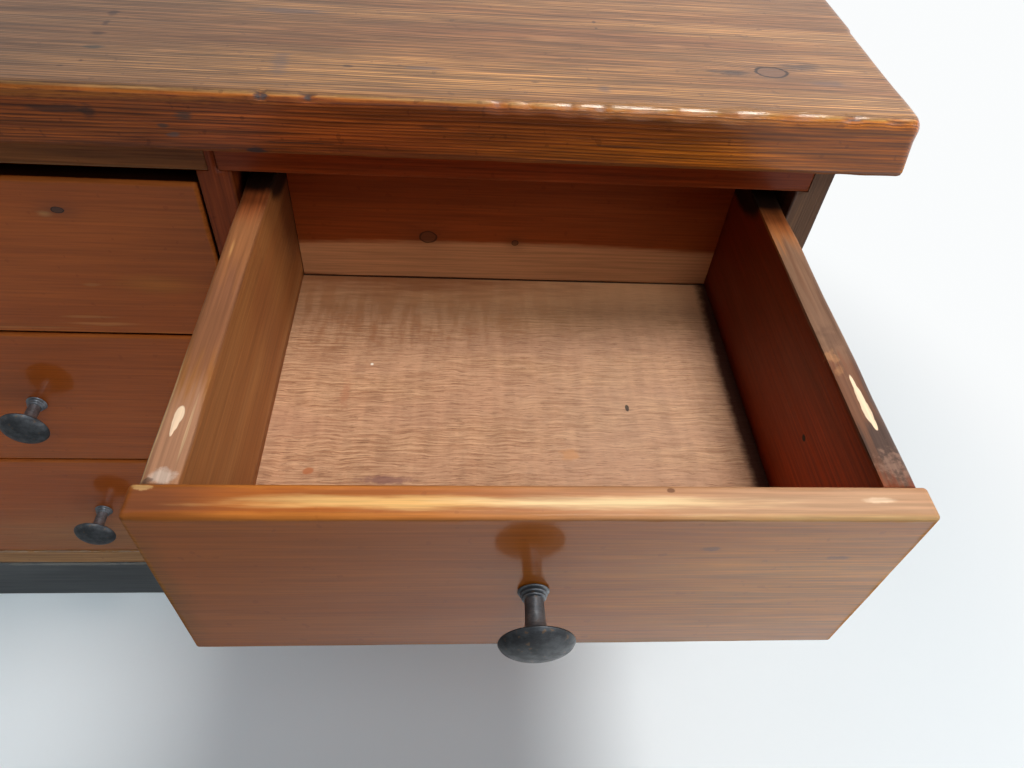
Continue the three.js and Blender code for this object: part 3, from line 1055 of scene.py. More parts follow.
@dataclass
class Board:
    """A board with eased, slightly uneven arrises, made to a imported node's box.

    Its skin is a lattice that is close together at the arrises. A node with grooves, notches or
    holes trims it afterwards.
    """

    node: str
    grain: Grain
    seed: int
    easing: Triple = (1.2 * MM, 1.2 * MM, 1.2 * MM)
    pith: Triple = (0.0, 0.0, 0.0)
    spacing: float = 9 * MM
    wander: float = 0.35
    swell: float = 1.0
    easing_at: Callable[[Vector], float] | None = None
    dent_at: Callable[[Vector], float] | None = None
    low: Vector = field(init=False)
    high: Vector = field(init=False)

    INSET = 0.02 * MM
    ARRIS_STEPS = 4
    GUARD = 1.2 * MM
    LEAST_EASING = 0.05 * MM
    LEAST_ROOM = 0.2 * MM
    MOST_SHARE = 0.45
    WAVE = 0.05 * MM
    WAVE_PITCH = 21.0
    WANDER_PITCH = 32.0

    def __post_init__(self) -> None:
        """Takes the board's box from its node."""
        self.low, self.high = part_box(self.node)

    def turned(self, point: Triple) -> Triple:
        """Returns a point as its places along, across and through the grain."""
        return tuple(point[axis] for axis in self.grain.value)

    def along_grain(self, graph: Graph, spot: bpy.types.NodeSocket) -> bpy.types.NodeSocket:
        """Returns a position turned to the grain, inside a finish."""
        axes = graph.split(spot)
        return graph.join(*[axes[axis] for axis in self.grain.value])

    def zone(self, axis: int) -> float:
        """Returns how wide the closely spaced part is at each end of an axis."""
        return self.easing[axis] * (1.0 + self.wander) * self.swell

    def stops(self, axis: int) -> list[float]:
        """Spaces the lattice along an axis.

        Args:
            axis: The axis.

        Returns:
            Its places, from low to high.
        """
        low, high = self.low[axis] + self.INSET, self.high[axis] - self.INSET
        zone = min(self.zone(axis), self.MOST_SHARE * (high - low))
        steps = self.ARRIS_STEPS
        slants = [math.tan(math.pi / 4 * (1 - step / steps)) for step in range(steps + 1)]
        near = [zone * (1.0 - slant) for slant in slants]
        guard = zone + self.GUARD
        room = high - low - 2 * guard
        inner = []
        if room > self.LEAST_ROOM:
            count = max(1, round(room / self.spacing))
            inner = [low + guard + room * step / count for step in range(count + 1)]
        return [low + at for at in near] + inner + [high - at for at in reversed(near)]

    def worked(self, point: Vector) -> Vector:
        """Eases the arrises.

        Args:
            point: A point of the plain lattice.

        Returns:
            Where it lies on the eased board.
        """
        here = point + Vector((self.seed * 0.37, self.seed * 0.11, self.seed * 0.23))
        scale = 1.0 + self.wander * noise.noise(here * self.WANDER_PITCH)
        if self.easing_at:
            scale *= self.easing_at(point)
        core, arm = Vector(), Vector()
        radii = []
        for axis in range(3):
            low, high = self.low[axis] + self.INSET, self.high[axis] - self.INSET
            radius = max(self.easing[axis] * scale, self.LEAST_EASING)
            radius = min(radius, self.zone(axis), self.MOST_SHARE * (high - low))
            core[axis] = min(max(point[axis], low + radius), high - radius)
            arm[axis] = (point[axis] - core[axis]) / radius
            radii.append(radius)
        arm.normalize()
        dent = self.WAVE * (0.5 + 0.5 * noise.noise(here * self.WAVE_PITCH))
        if self.dent_at:
            dent += self.dent_at(point)
        return core + Vector(arm[axis] * (radii[axis] - dent) for axis in range(3))

    def skin(self) -> bpy.types.Mesh:
        """Returns the board's closed skin, before any trimming."""
        stops = [self.stops(axis) for axis in range(3)]
        last = [len(line) - 1 for line in stops]
        found: dict[tuple[int, int, int], int] = {}
        points: list[Vector] = []
        faces: list[tuple[int, ...]] = []

        def corner(key: tuple[int, int, int]) -> int:
            """Returns the number of a lattice point, adding it when it is new."""
            if key not in found:
                found[key] = len(points)
                points.append(self.worked(Vector(stops[axis][key[axis]] for axis in range(3))))
            return found[key]

        for axis in range(3):
            across, up = (axis + 1) % 3, (axis + 2) % 3
            for side in (0, last[axis]):
                for i in range(last[across]):
                    for j in range(last[up]):
                        ring = [(i, j), (i + 1, j), (i + 1, j + 1), (i, j + 1)]
                        if side == 0:
                            ring.reverse()
                        keys = []
                        for a, b in ring:
                            key = [0, 0, 0]
                            key[axis], key[across], key[up] = side, a, b
                            keys.append(corner(tuple(key)))
                        faces.append(tuple(keys))
        mesh = bpy.data.meshes.new(self.node + "_skin")
        mesh.from_pydata(points, [], faces)
        return mesh

    def trimmed(self, mesh: bpy.types.Mesh) -> bpy.types.Mesh:
        """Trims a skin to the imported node, so that its grooves and holes are the node's own.

        Args:
            mesh: The skin.

        Returns:
            The trimmed mesh, or the skin itself where the node is a plain box.
        """
        twin = weld(frame["nodes"][self.node].data)
        if len(twin.vertices) == 8:
            bpy.data.meshes.remove(twin)
            return mesh
        blank = bpy.data.objects.new("blank", mesh)
        guide = bpy.data.objects.new("guide", twin)
        for work in (blank, guide):
            bpy.context.scene.collection.objects.link(work)
        cut = blank.modifiers.new("trim", "BOOLEAN")
        cut.operation, cut.solver, cut.object = "INTERSECT", "MANIFOLD", guide
        solved = blank.evaluated_get(bpy.context.evaluated_depsgraph_get())
        result = bpy.data.meshes.new_from_object(solved)
        for work in (blank, guide):
            bpy.data.objects.remove(work)
        return result

    def build(self) -> bpy.types.Object:
        """Returns the finished piece, in place of its node."""
        mesh = self.trimmed(self.skin())
        mesh.name = self.node + "_board"
        mesh.materials.clear()
        smooth(mesh)
        return add_piece(self.node + "_board", mesh, (self.node,))


def finish_piece(piece: bpy.types.Object, material: bpy.types.Material) -> None:
    """Gives a piece its material, and reports it.

    Args:
        piece: The piece.
        material: Its finish.
    """
    piece.data.materials.clear()
    piece.data.materials.append(material)
    LOG.info("%s: %d faces", piece.name, len(piece.data.polygons))


# ---- Plank top ------------------------------------------------------------------------------


def bump_at(value: float, centre: float, half: float) -> float:
    """Returns a smooth bump, 1 at its centre and 0 beyond half its width."""
    share = abs(value - centre) / half
    return 0.0 if share >= 1.0 else (1.0 - share * share) ** 2


@dataclass
class PlankTop:
    """The thick plank, with soft arrises, knocks along its front edge and an old knot."""

    arris: float = 3.8 * MM
    corner: float = 9.0 * MM
    lower: float = 2.2 * MM
    underside: float = 0.5988
    thickness: float = 0.038
    half_length: float = 0.432
    corner_zone: float = 0.016
    worn_from: float = 0.63
    worn_depth: float = 0.12 * MM
    knock_depth: float = 1.1
    knocks: tuple[Pair, ...] = (
        (0.177, 0.008), (0.193, 0.007), (0.216, 0.009), (0.235, 0.010), (0.257, 0.014),
        (0.288, 0.015), (0.318, 0.018), (0.352, 0.022), (0.386, 0.008), (0.414, 0.010),
        (0.044, 0.005), (0.070, 0.004), (-0.150, 0.012), (-0.262, 0.009), (-0.371, 0.014),
    )
    knot: Triple = (0.3508, 0.0258, 0.6368)
    knot_half: Pair = (0.0115, 0.0088)
    knot_depth: float = 0.25 * MM

    def easing_at(self, point: Vector) -> float:
        """Finds how much rounder an arris is worn.

        Args:
            point: A point of the plain lattice.

        Returns:
            How many times the plain easing it has.
        """
        height = (point.z - self.underside) / self.thickness
        upper = 1.0
        if point.y < 0.0:
            upper += self.knock_depth * max(bump_at(point.x, at, half) for at, half in self.knocks)
            upper += 0.22 * noise.noise(Vector((point.x * 140.0, 3.0, 0.0)))
        unrest = noise.noise(Vector((point.x * 70.0, point.y * 70.0, 8.0)))
        lower = self.lower / self.arris * (1.0 + 0.45 * unrest)
        grown = lower + (upper - lower) * min(1.0, max(0.0, (height - 0.3) * 2.5))
        nearness = max(0.0, 1.0 - (self.half_length - abs(point.x)) / self.corner_zone)
        turn = nearness * nearness * (3.0 - 2.0 * nearness) if point.y < 0.1 else 0.5 * nearness
        turn *= min(1.0, max(0.12, (height - 0.05) * 1.8))
        return grown + (self.corner / self.arris - grown) * turn

    def dent_at(self, point: Vector) -> float:
        """Finds how deep the surface is pushed in.

        Args:
            point: A point of the plain lattice.

        Returns:
            The depth in metres.
        """
        if point.z < self.worn_from:
            return 0.0
        unrest = noise.noise(Vector((point.x * 9.0, point.y * 45.0, 1.0)))
        worn = self.worn_depth * (0.5 + 0.5 * unrest)
        away = Vector((point[axis] - self.knot[axis]) / self.knot_half[axis] for axis in (0, 1))
        return worn + (self.knot_depth if away.length < 1.0 else 0.0)

    def build(self) -> None:
        """Builds the plank and its finish."""
        board = Board(
            "plank_top", Grain.FLAT, 3, easing=(self.arris,) * 3, pith=(0.0, -0.22, 0.44),
            spacing=4 * MM, swell=2.3, wander=0.2, easing_at=self.easing_at, dent_at=self.dent_at,
        )
        mesh = board.skin()
        mesh.name = "plank_top_board"
        smooth(mesh, 50.0)
        piece = add_piece("plank_top_board", mesh, ("plank_top",))
        finish_piece(piece, self.finish(board))

    def finish(self, board: Board) -> bpy.types.Material:
        """Returns the plank's own finish, with its stains, painted shade and painted light.

        Args:
            board: The plank.

        Returns:
            The material.
        """
        top, front = board.high.z, board.low.y
        dark = tint(0.045, 0.018, 0.012)
        grey = tint(0.13, 0.085, 0.075)
        soot = tint(0.030, 0.022, 0.022)
        rust = tint(0.44, 0.20, 0.085)
        muted_brown = tint(0.215, 0.108, 0.056)
        golden = tint(0.46, 0.20, 0.045)
        drawn = (60.0, 400.0, 400.0)
        over = Face(2, top, 0.0022, EVEN)
        face = Face(1, front, 0.004, drawn)
        lip = Face(1, front, 0.006, EVEN)

        def stain(
            x: float, y: float, half_x: float, half_y: float, colour: Colour = dark, strength: float = 0.7,
        ) -> Mark:
            """Returns a stain on the top face."""
            return Face(2, top, 0.004, drawn).mark((x, y), (half_x, half_y), colour, strength, 0.9, 0.7)

        def streak(
            x: float, z: float, half_x: float, half_z: float, colour: Colour = dark, strength: float = 0.7,
        ) -> Mark:
            """Returns a streak on the front face."""
            return face.mark((x, z), (half_x, half_z), colour, strength, 0.9, 0.6)

        marks = (
            # The top is tinted greyer and bluer than the front, with a muted brown over it.
            over.wash((0.0, 0.16), (1.5, 0.8), (0.98, 1.66, 3.3), 0.0, 0.6),
            over.mark((0.0, 0.16), (1.5, 0.8), muted_brown, 0.28, 0.0, 0.6),
            # Painted shade and painted light: the left of the top is duller and darker, the right lighter, as
            # under a light that is stronger on the right.
            over.mark((-0.16, 0.10), (0.34, 0.5), muted_brown, 0.30, 0.1, 1.0),
            over.wash((-0.12, 0.10), (0.30, 0.5), (0.70, 0.72, 0.80), 0.1, 1.0),
            over.wash((0.20, 0.10), (0.32, 0.5), (1.13, 1.14, 1.13), 0.1, 1.0),
            over.wash((0.40, 0.015), (0.055, 0.055), (1.20, 1.30, 1.42), 0.2, 1.0),
            # Painted shade: the left of the front face is darker, with less varnish.
            face.wash((-0.17, 0.6150), (0.26, 0.034), (0.84, 0.72, 0.60), 0.2, 0.7, varnish=0.45),
            face.wash((0.07, 0.6150), (0.13, 0.034), (1.14, 1.0, 1.0), 0.2, 0.9),
            face.mark((-0.20, 0.6318), (0.30, 0.0042), tint(0.50, 0.155, 0.022), 0.55, 0.9, 0.6),
            face.wash((-0.20, top), (0.30, 0.0030), (0.46, 0.34, 0.26), 0.3, 0.7, depth=0.0055),
            # Painted light: the right of the front face is lighter and more golden.
            face.wash((0.36, 0.616), (0.22, 0.034), (1.62, 1.85, 1.0), 0.3, 0.9),
            face.mark((0.285, top), (0.125, 0.009), golden, 0.25, 0.45, 0.5, depth=0.012, polish=0.72),
            lip.mark((0.0, 0.5995), (1.5, 0.0032), tint(0.13, 0.030, 0.006), 0.8, 0.2, 0.6),
            stain(-0.0625, 0.0636, 0.004, 0.006), stain(-0.0622, 0.050, 0.003, 0.005),
            stain(-0.0623, 0.035, 0.006, 0.004),
            stain(-0.0593, 0.0165, 0.007, 0.004, tint(0.03, 0.035, 0.03)),
            stain(-0.069, -0.008, 0.003, 0.0015), stain(-0.060, -0.0006, 0.002, 0.0015),
            stain(0.041, 0.081, 0.035, 0.005, grey, 0.6), stain(0.0885, 0.0068, 0.004, 0.002),
            stain(0.1335, 0.009, 0.014, 0.003, grey, 0.6), stain(0.1988, -0.0025, 0.004, 0.002),
            stain(0.2398, -0.0073, 0.006, 0.006, grey, 0.6), stain(0.2443, 0.0885, 0.0015, 0.003),
            stain(0.2447, 0.0785, 0.0015, 0.002), stain(0.0495, 0.007, 0.007, 0.020, grey, 0.45),
            stain(0.212, 0.058, 0.026, 0.004, rust, 0.55), stain(0.291, 0.0555, 0.014, 0.004, rust, 0.6),
            stain(-0.016, 0.0166, 0.014, 0.002, rust, 0.6), stain(0.0294, 0.0541, 0.03, 0.0018, rust, 0.5),
            stain(0.3254, 0.0218, 0.018, 0.0040, soot, 0.75), stain(0.374, 0.0345, 0.018, 0.007, soot, 0.7),
            stain(0.383, 0.013, 0.020, 0.005, grey, 0.6), stain(-0.28, 0.19, 0.03, 0.012, grey, 0.5),
            stain(-0.35, 0.02, 0.015, 0.006, dark, 0.5), stain(0.12, 0.26, 0.04, 0.010, grey, 0.5),
            stain(-0.18, 0.30, 0.012, 0.012, dark, 0.45), stain(0.31, 0.29, 0.02, 0.006, rust, 0.5),
            streak(-0.067, 0.6228, 0.024, 0.003), streak(-0.0521, 0.6215, 0.006, 0.005),
            streak(0.0, 0.6215, 0.007, 0.003, tint(0.05, 0.04, 0.035)),
            streak(-0.0133, 0.6146, 0.004, 0.002, tint(0.05, 0.04, 0.035)),
            streak(-0.0086, 0.6095, 0.005, 0.002, grey), streak(0.062, 0.6072, 0.03, 0.0006, dark, 0.9),
            streak(0.25, 0.613, 0.02, 0.0015, dark, 0.5),
            streak(0.14, 0.6205, 0.012, 0.002, dark, 0.5), streak(-0.24, 0.617, 0.05, 0.003, dark, 0.5),
            streak(0.0443, 0.6345, 0.005, 0.0025, tint(0.05, 0.045, 0.05), 0.9),
            streak(0.070, 0.6345, 0.003, 0.002, tint(0.05, 0.04, 0.04), 0.9),
            streak(0.3854, 0.6355, 0.006, 0.0025, grey, 0.9), streak(0.414, 0.635, 0.009, 0.002, dark, 0.7),
            streak(0.0364, 0.6015, 0.006, 0.003, tint(0.03, 0.02, 0.025), 0.95),
        )
        knots = (Knot(self.knot, 7.4 * MM, 1.4, tint(0.17, 0.085, 0.055), 0.9),)
        return PLANK_WOOD.dress("plank_finish", board, knots, marks)


# ---- Carcass --------------------------------------------------------------------------------


@dataclass
class Carcass:
    """The sides, divider, bottom board, rails, back and plinth."""

    panel_easing: float = 1.3 * MM
    pin_head: float = 2.2 * MM
    pin_rise: float = 0.7 * MM
    pin_sides: int = 12

    def board(
        self, node: str, grain: Grain, seed: int, wood: Timber, marks: tuple[Mark, ...] = (),
        **changes: object,
    ) -> None:
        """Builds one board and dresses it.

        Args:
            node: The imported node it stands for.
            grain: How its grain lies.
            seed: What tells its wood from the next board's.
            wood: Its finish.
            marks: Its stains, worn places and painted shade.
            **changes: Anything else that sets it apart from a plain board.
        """
        easing = changes.pop("easing", (self.panel_easing,) * 3)
        made = Board(node, grain, seed, easing=easing, **changes)
        finish_piece(made.build(), wood.dress(node + "_finish", made, marks=marks))

    def build_panels(self) -> None:
        """Builds the two sides, the divider and the bottom board."""
        middles = {"side_left": -0.391, "centre_divider": 0.0, "side_right": 0.391}
        shade = Mark((0.011, 0.026, 0.5400), (0.002, 0.030, 0.050), SHADE, 0.9, 0.1, 0.5)
        for seed, (node, middle) in enumerate(middles.items(), 11):
            wood = GREYED_WOOD if node == "side_right" else CARCASS_WOOD
            self.board(node, Grain.STANDING, seed, wood, (shade,), pith=(0.0, 0.10, middle - 0.16))
        self.board("bottom_board", Grain.FLAT, 14, FADED_WOOD, pith=(0.0, 0.12, -0.05), spacing=14 * MM)

    def build_rails(self) -> None:
        """Builds the top rails and the rail behind."""
        small = (0.8 * MM,) * 3
        for seed, node in enumerate(("top_rail_left", "top_rail_right", "back_rail"), 21):
            wood = DUSTY_WOOD if node == "top_rail_left" else CARCASS_WOOD
            self.board(node, Grain.LYING, seed, wood, easing=small, pith=(0.0, 0.50, -0.09))

    def build_back(self) -> None:
        """Builds the back panel and the heads of the pins that hold it."""
        sheet = Board("back_panel", Grain.PANEL, 31, easing=(0.5 * MM,) * 3, spacing=20 * MM)
        finish_piece(sheet.build(), BACK_SHEET.dress("back_panel_finish", sheet))
        low, high = sheet.low, sheet.high
        edge = 6 * MM
        places = [
            (low.x + edge + (high.x - low.x - 2 * edge) * step / 8, z)
            for step in range(9)
            for z in (low.z + 5 * MM, high.z - 8 * MM)
        ]
        heights = [low.z + (high.z - low.z) * step / 6 for step in range(1, 6)]
        places += [(x, z) for z in heights for x in (low.x + 4 * MM, high.x - 4 * MM)]
        places += [(0.0, z) for z in heights]
        outline = [
            (0.0, -0.2 * MM), (0.35, -0.2 * MM), (1.0, -0.1 * MM), (1.0, 0.2 * MM), (0.82, 0.52 * MM),
            (0.5, self.pin_rise * 0.93), (0.0, self.pin_rise),
        ]
        profile = [(share * self.pin_head, reach) for share, reach in outline]
        work = bmesh.new()
        for x, z in places:
            lathe(work, profile, Vector((x, high.y, z)), 1, self.pin_sides)
        pins = add_piece("back_pins", mesh_of(work, "back_pins"), (), "cabinet", "knob")
        finish_piece(pins, KNOB_METAL.dress("back_pins_finish", Vector((0.0, high.y, 0.3))))

    def build_plinth(self) -> None:
        """Builds the painted plinth."""
        for seed, node in enumerate(("plinth_front", "plinth_side_left", "plinth_side_right"), 41):
            grain = Grain.LYING if node == "plinth_front" else Grain.DEEP
            made = Board(node, grain, seed, easing=(1.4 * MM,) * 3, spacing=12 * MM)
            finish_piece(made.build(), PLINTH_PAINT.dress(node + "_finish", made))

    def build(self) -> None:
        """Builds the whole carcass."""
        self.build_panels()
        self.build_rails()
        self.build_back()
        self.build_plinth()


# ---- Turned work ----------------------------------------------------------------------------


def mesh_of(work: bmesh.types.BMesh, name: str, angle: float = 32.0) -> bpy.types.Mesh:
    """Returns finished turned work as a smooth mesh.

    Args:
        work: The turned work, which is let go.
        name: The mesh's name.
        angle: The angle in degrees beyond which an edge stays crisp.

    Returns:
        The mesh.
    """
    mesh = bpy.data.meshes.new(name)
    work.to_mesh(mesh)
    work.free()
    smooth(mesh, angle)
    return mesh


def lathe(work: bmesh.types.BMesh, outline: list[Pair], foot: Vector, way: int, sides: int) -> None:
    """Turns an outline round an axis along Y.

    Args:
        work: The mesh that it is added to.
        outline: Its radius and reach at each step; the first and last lie on the axis.
        foot: Where its reach is 0.
        way: 1 where it reaches to +Y, -1 where it reaches to -Y.
        sides: How many sides it is turned with.
    """
    angles = [math.tau * side / sides for side in range(sides)]
    rings = []
    for radius, reach in outline:
        spokes = [(radius * math.cos(turn), way * radius * math.sin(turn)) for turn in angles]
        if radius == 0.0:
            spokes = [(0.0, 0.0)]
        rings.append([work.verts.new(foot + Vector((x, way * reach, z))) for x, z in spokes])
    for first, second in zip(rings, rings[1:]):
        for side in range(sides):
            after = (side + 1) % sides
            if len(first) == 1:
                corners = (first[0], second[after], second[side])
            elif len(second) == 1:
                corners = (first[side], first[after], second[0])
            else:
                corners = (first[side], first[after], second[after], second[side])
            work.faces.new(corners)


def arc(centre: Pair, radius: Pair, start: float, end: float, steps: int) -> list[Pair]:
    """Returns points on part of an ellipse.

    Args:
        centre: Its middle, as a radius and a reach.
        radius: Its half-sizes.
        start: The first point's angle in degrees, 0 being outwards and 90 forwards.
        end: The last point's angle.
        steps: How many steps lie between them.

    Returns:
        The points.
    """
    turns = [math.radians(start + (end - start) * step / steps) for step in range(steps + 1)]
    return [(centre[0] + radius[0] * math.cos(t), centre[1] + radius[1] * math.sin(t)) for t in turns]


@dataclass
class Knob:
    """A mushroom knob: a beaded foot, a slim stem, a thin-rimmed domed head, and a screw inside."""

    node: str
    metal: Pewter
    board_thickness: float = 18 * MM
    head: float = 19 * MM
    rim_reach: float = 26.9 * MM
    rim: float = 0.7 * MM
    dome: float = 5.6 * MM
    stem: float = 5.15 * MM
    sides: int = 64

    def outline(self) -> list[Pair]:
        """Returns the half-outline from the screw inside to the crown, as radius and reach."""
        inside = -self.board_thickness - 0.3 * MM
        points = [(0.0, inside - 2.5 * MM), (3.1 * MM, inside - 2.8 * MM)]
        points += arc((4.3 * MM, inside - 1.6 * MM), (1.2 * MM, 1.2 * MM), -80, 0, 4)
        points += [(5.5 * MM, inside), (2.3 * MM, inside), (2.3 * MM, 0.3 * MM)]
        points += arc((7.3 * MM, 1.0 * MM), (0.9 * MM, 0.7 * MM), -90, 70, 6)
        points += arc((6.3 * MM, 2.75 * MM), (0.85 * MM, 0.8 * MM), -65, 75, 6)
        points += arc((5.5 * MM, 4.55 * MM), (0.85 * MM, 0.75 * MM), -65, 80, 6)
        waist = self.stem - 0.15 * MM
        points += [(waist, 5.5 * MM), (waist - 0.05 * MM, 8 * MM), (waist, 14 * MM)]
        points += [(self.stem + 0.2 * MM, 19 * MM), (self.stem + 0.7 * MM, 20.6 * MM)]
        points += [(self.stem + 1.9 * MM, 22.3 * MM)]
        points += [(10.5 * MM, 24.1 * MM), (14.5 * MM, 25.5 * MM), (17.6 * MM, 26.5 * MM)]
        points += arc((self.head - self.rim, self.rim_reach + self.rim), (self.rim, self.rim), -70, 45, 6)
        crown = self.rim_reach + 2 * self.rim
        dome = arc((0.0, crown - 0.5 * MM), (self.head - 0.4 * MM, self.dome + 0.5 * MM), 8, 90, 14)
        return points + dome[:-1] + [(0.0, crown + self.dome)]

    def build(self, body_front: Vector) -> None:
        """Builds the knob.

        Args:
            body_front: Where its axis meets the face of the drawer's front.
        """
        work = bmesh.new()
        lathe(work, self.outline(), body_front, -1, self.sides)
        bmesh.ops.recalc_face_normals(work, faces=work.faces)
        mesh = mesh_of(work, self.node + "_turned", 48.0)
        piece = add_piece(self.node + "_turned", mesh, (self.node,))
        finish_piece(piece, self.metal.dress(self.node + "_finish", body_front))


# ---- Drawers --------------------------------------------------------------------------------


@dataclass(frozen=True)
class DrawerMarks:
    """What one drawer carries beyond the plain finishes: stains and wear, painted shade and painted light, a
    tone for its front and a metal for its knob.
    """

    front_tone: Triple = (1.06, 0.88, 0.90)
    front: tuple[Mark, ...] = ()
    front_knots: tuple[Knot, ...] = ()
    side_left: tuple[Mark, ...] = ()
    side_right: tuple[Mark, ...] = ()
    back: tuple[Mark, ...] = ()
    back_knots: tuple[Knot, ...] = ()
    base: tuple[Mark, ...] = ()
    figure: Mark | None = None
    metal: Pewter = KNOB_METAL.toned(1.75)


@dataclass
class Drawer:
    """One drawer: front, two grooved sides, back, veneered base and knob."""

    row: Row
    column: Hand
    seed: int
    marks: DrawerMarks = DrawerMarks()
    front_easing: float = 2.0 * MM
    outer_easing: float = 4.2 * MM
    inner_easing: float = 1.4 * MM

    @property
    def name(self) -> str:
        """Returns the start of its nodes' names."""
        return f"drawer_{self.row.value}_{self.column.word}"

    def build_front(self) -> None:
        """Builds the front."""
        node = self.name + "_front"
        low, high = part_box(node)
        pith = (0.0, low.z + (high.z - low.z) * (0.25 + 0.13 * (self.seed % 5)), low.y + 0.075)
        shift = Vector((self.seed, 0, 0))
        board = Board(
            node, Grain.LYING, self.seed, easing=(self.front_easing,) * 3, pith=pith, spacing=8 * MM,
            wander=0.0, swell=1.5, easing_at=lambda p: 1.0 + 0.2 * (1.0 + noise.noise(p * 40.0 + shift)),
        )
        wood = FRONT_WOOD.toned(*self.marks.front_tone)
        material = wood.dress(node + "_finish", board, self.marks.front_knots, self.marks.front)
        finish_piece(board.build(), material)

    def build_side(self, hand: Hand) -> None:
        """Builds one side of the box, with its outer top arris worn rounder than the inner one.

        Args:
            hand: Which side it is.
        """
        node = f"{self.name}_side_{hand.word}"
        low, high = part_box(node)
        middle = (low.x + high.x) / 2

        def easing_at(point: Vector) -> float:
            """Finds how much rounder an arris is worn.

            Args:
                point: A point of the plain lattice.

            Returns:
                How many times the plain easing it has.
            """
            if point.z < high.z - 0.02:
                return 1.0
            outside = (point.x - middle) * hand.way > 0
            worn = 1.0 + 0.35 * noise.noise(Vector((0.0, point.y * 30.0, self.seed)))
            return self.outer_easing / self.inner_easing * worn if outside else worn

        board = Board(
            node, Grain.DEEP, self.seed + 100 + hand.way,
            easing=(self.inner_easing, 0.4 * MM, self.inner_easing),
            pith=(0.0, low.z + 0.03, middle - hand.way * 0.06), spacing=9 * MM, wander=0.15,
            swell=4.2, easing_at=easing_at,
        )
        marks = self.marks.side_left if hand is Hand.LEFT else self.marks.side_right
        # The left side takes a lighter copy of the box wood, painted light; the right side a darker, redder
        # copy, painted shade.
        wood = BOX_WOOD_PAINTED_LIGHT if hand is Hand.LEFT else BOX_WOOD_PAINTED_SHADE
        finish_piece(board.build(), wood.dress(node + "_finish", board, marks=marks))

    def build_back(self) -> None:
        """Builds the back of the box."""
        node = self.name + "_back"
        low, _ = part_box(node)
        board = Board(
            node, Grain.LYING, self.seed + 200, easing=(0.4 * MM, 1.6 * MM, 1.6 * MM),
            pith=(0.0, low.z + 0.02, low.y + 0.06),
        )
        material = BOX_BACK_WOOD.dress(node + "_finish", board, self.marks.back_knots, self.marks.back)
        finish_piece(board.build(), material)

    def build_base(self) -> None:
        """Builds the base sheet."""
        node = self.name + "_base"
        board = Board(node, Grain.FLAT, self.seed + 300, easing=(0.4 * MM,) * 3, spacing=12 * MM)
        material = BASE_VENEER.dress(node + "_finish", board, self.marks.base, self.marks.figure)
        finish_piece(board.build(), material)

    def build(self) -> None:
        """Builds the whole drawer."""
        self.build_front()
        self.build_side(Hand.LEFT)
        self.build_side(Hand.RIGHT)
        self.build_back()
        self.build_base()
        low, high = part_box(self.name + "_front")
        middle = Vector(((low.x + high.x) / 2, low.y, (low.z + high.z) / 2))
        Knob(self.name + "_knob", self.marks.metal).build(middle)


def gap_over(top: float) -> Mark:
    """Returns painted shade in the gap over a shut drawer, whose front ends at this height: near-black and
    unvarnished on the front's top edge.
    """
    return Mark((0.0, 0.001, top + 0.0015), (0.800, 0.0078, 0.0044), SHADE, 0.96, 0.05, 0.15, varnish=0.0)


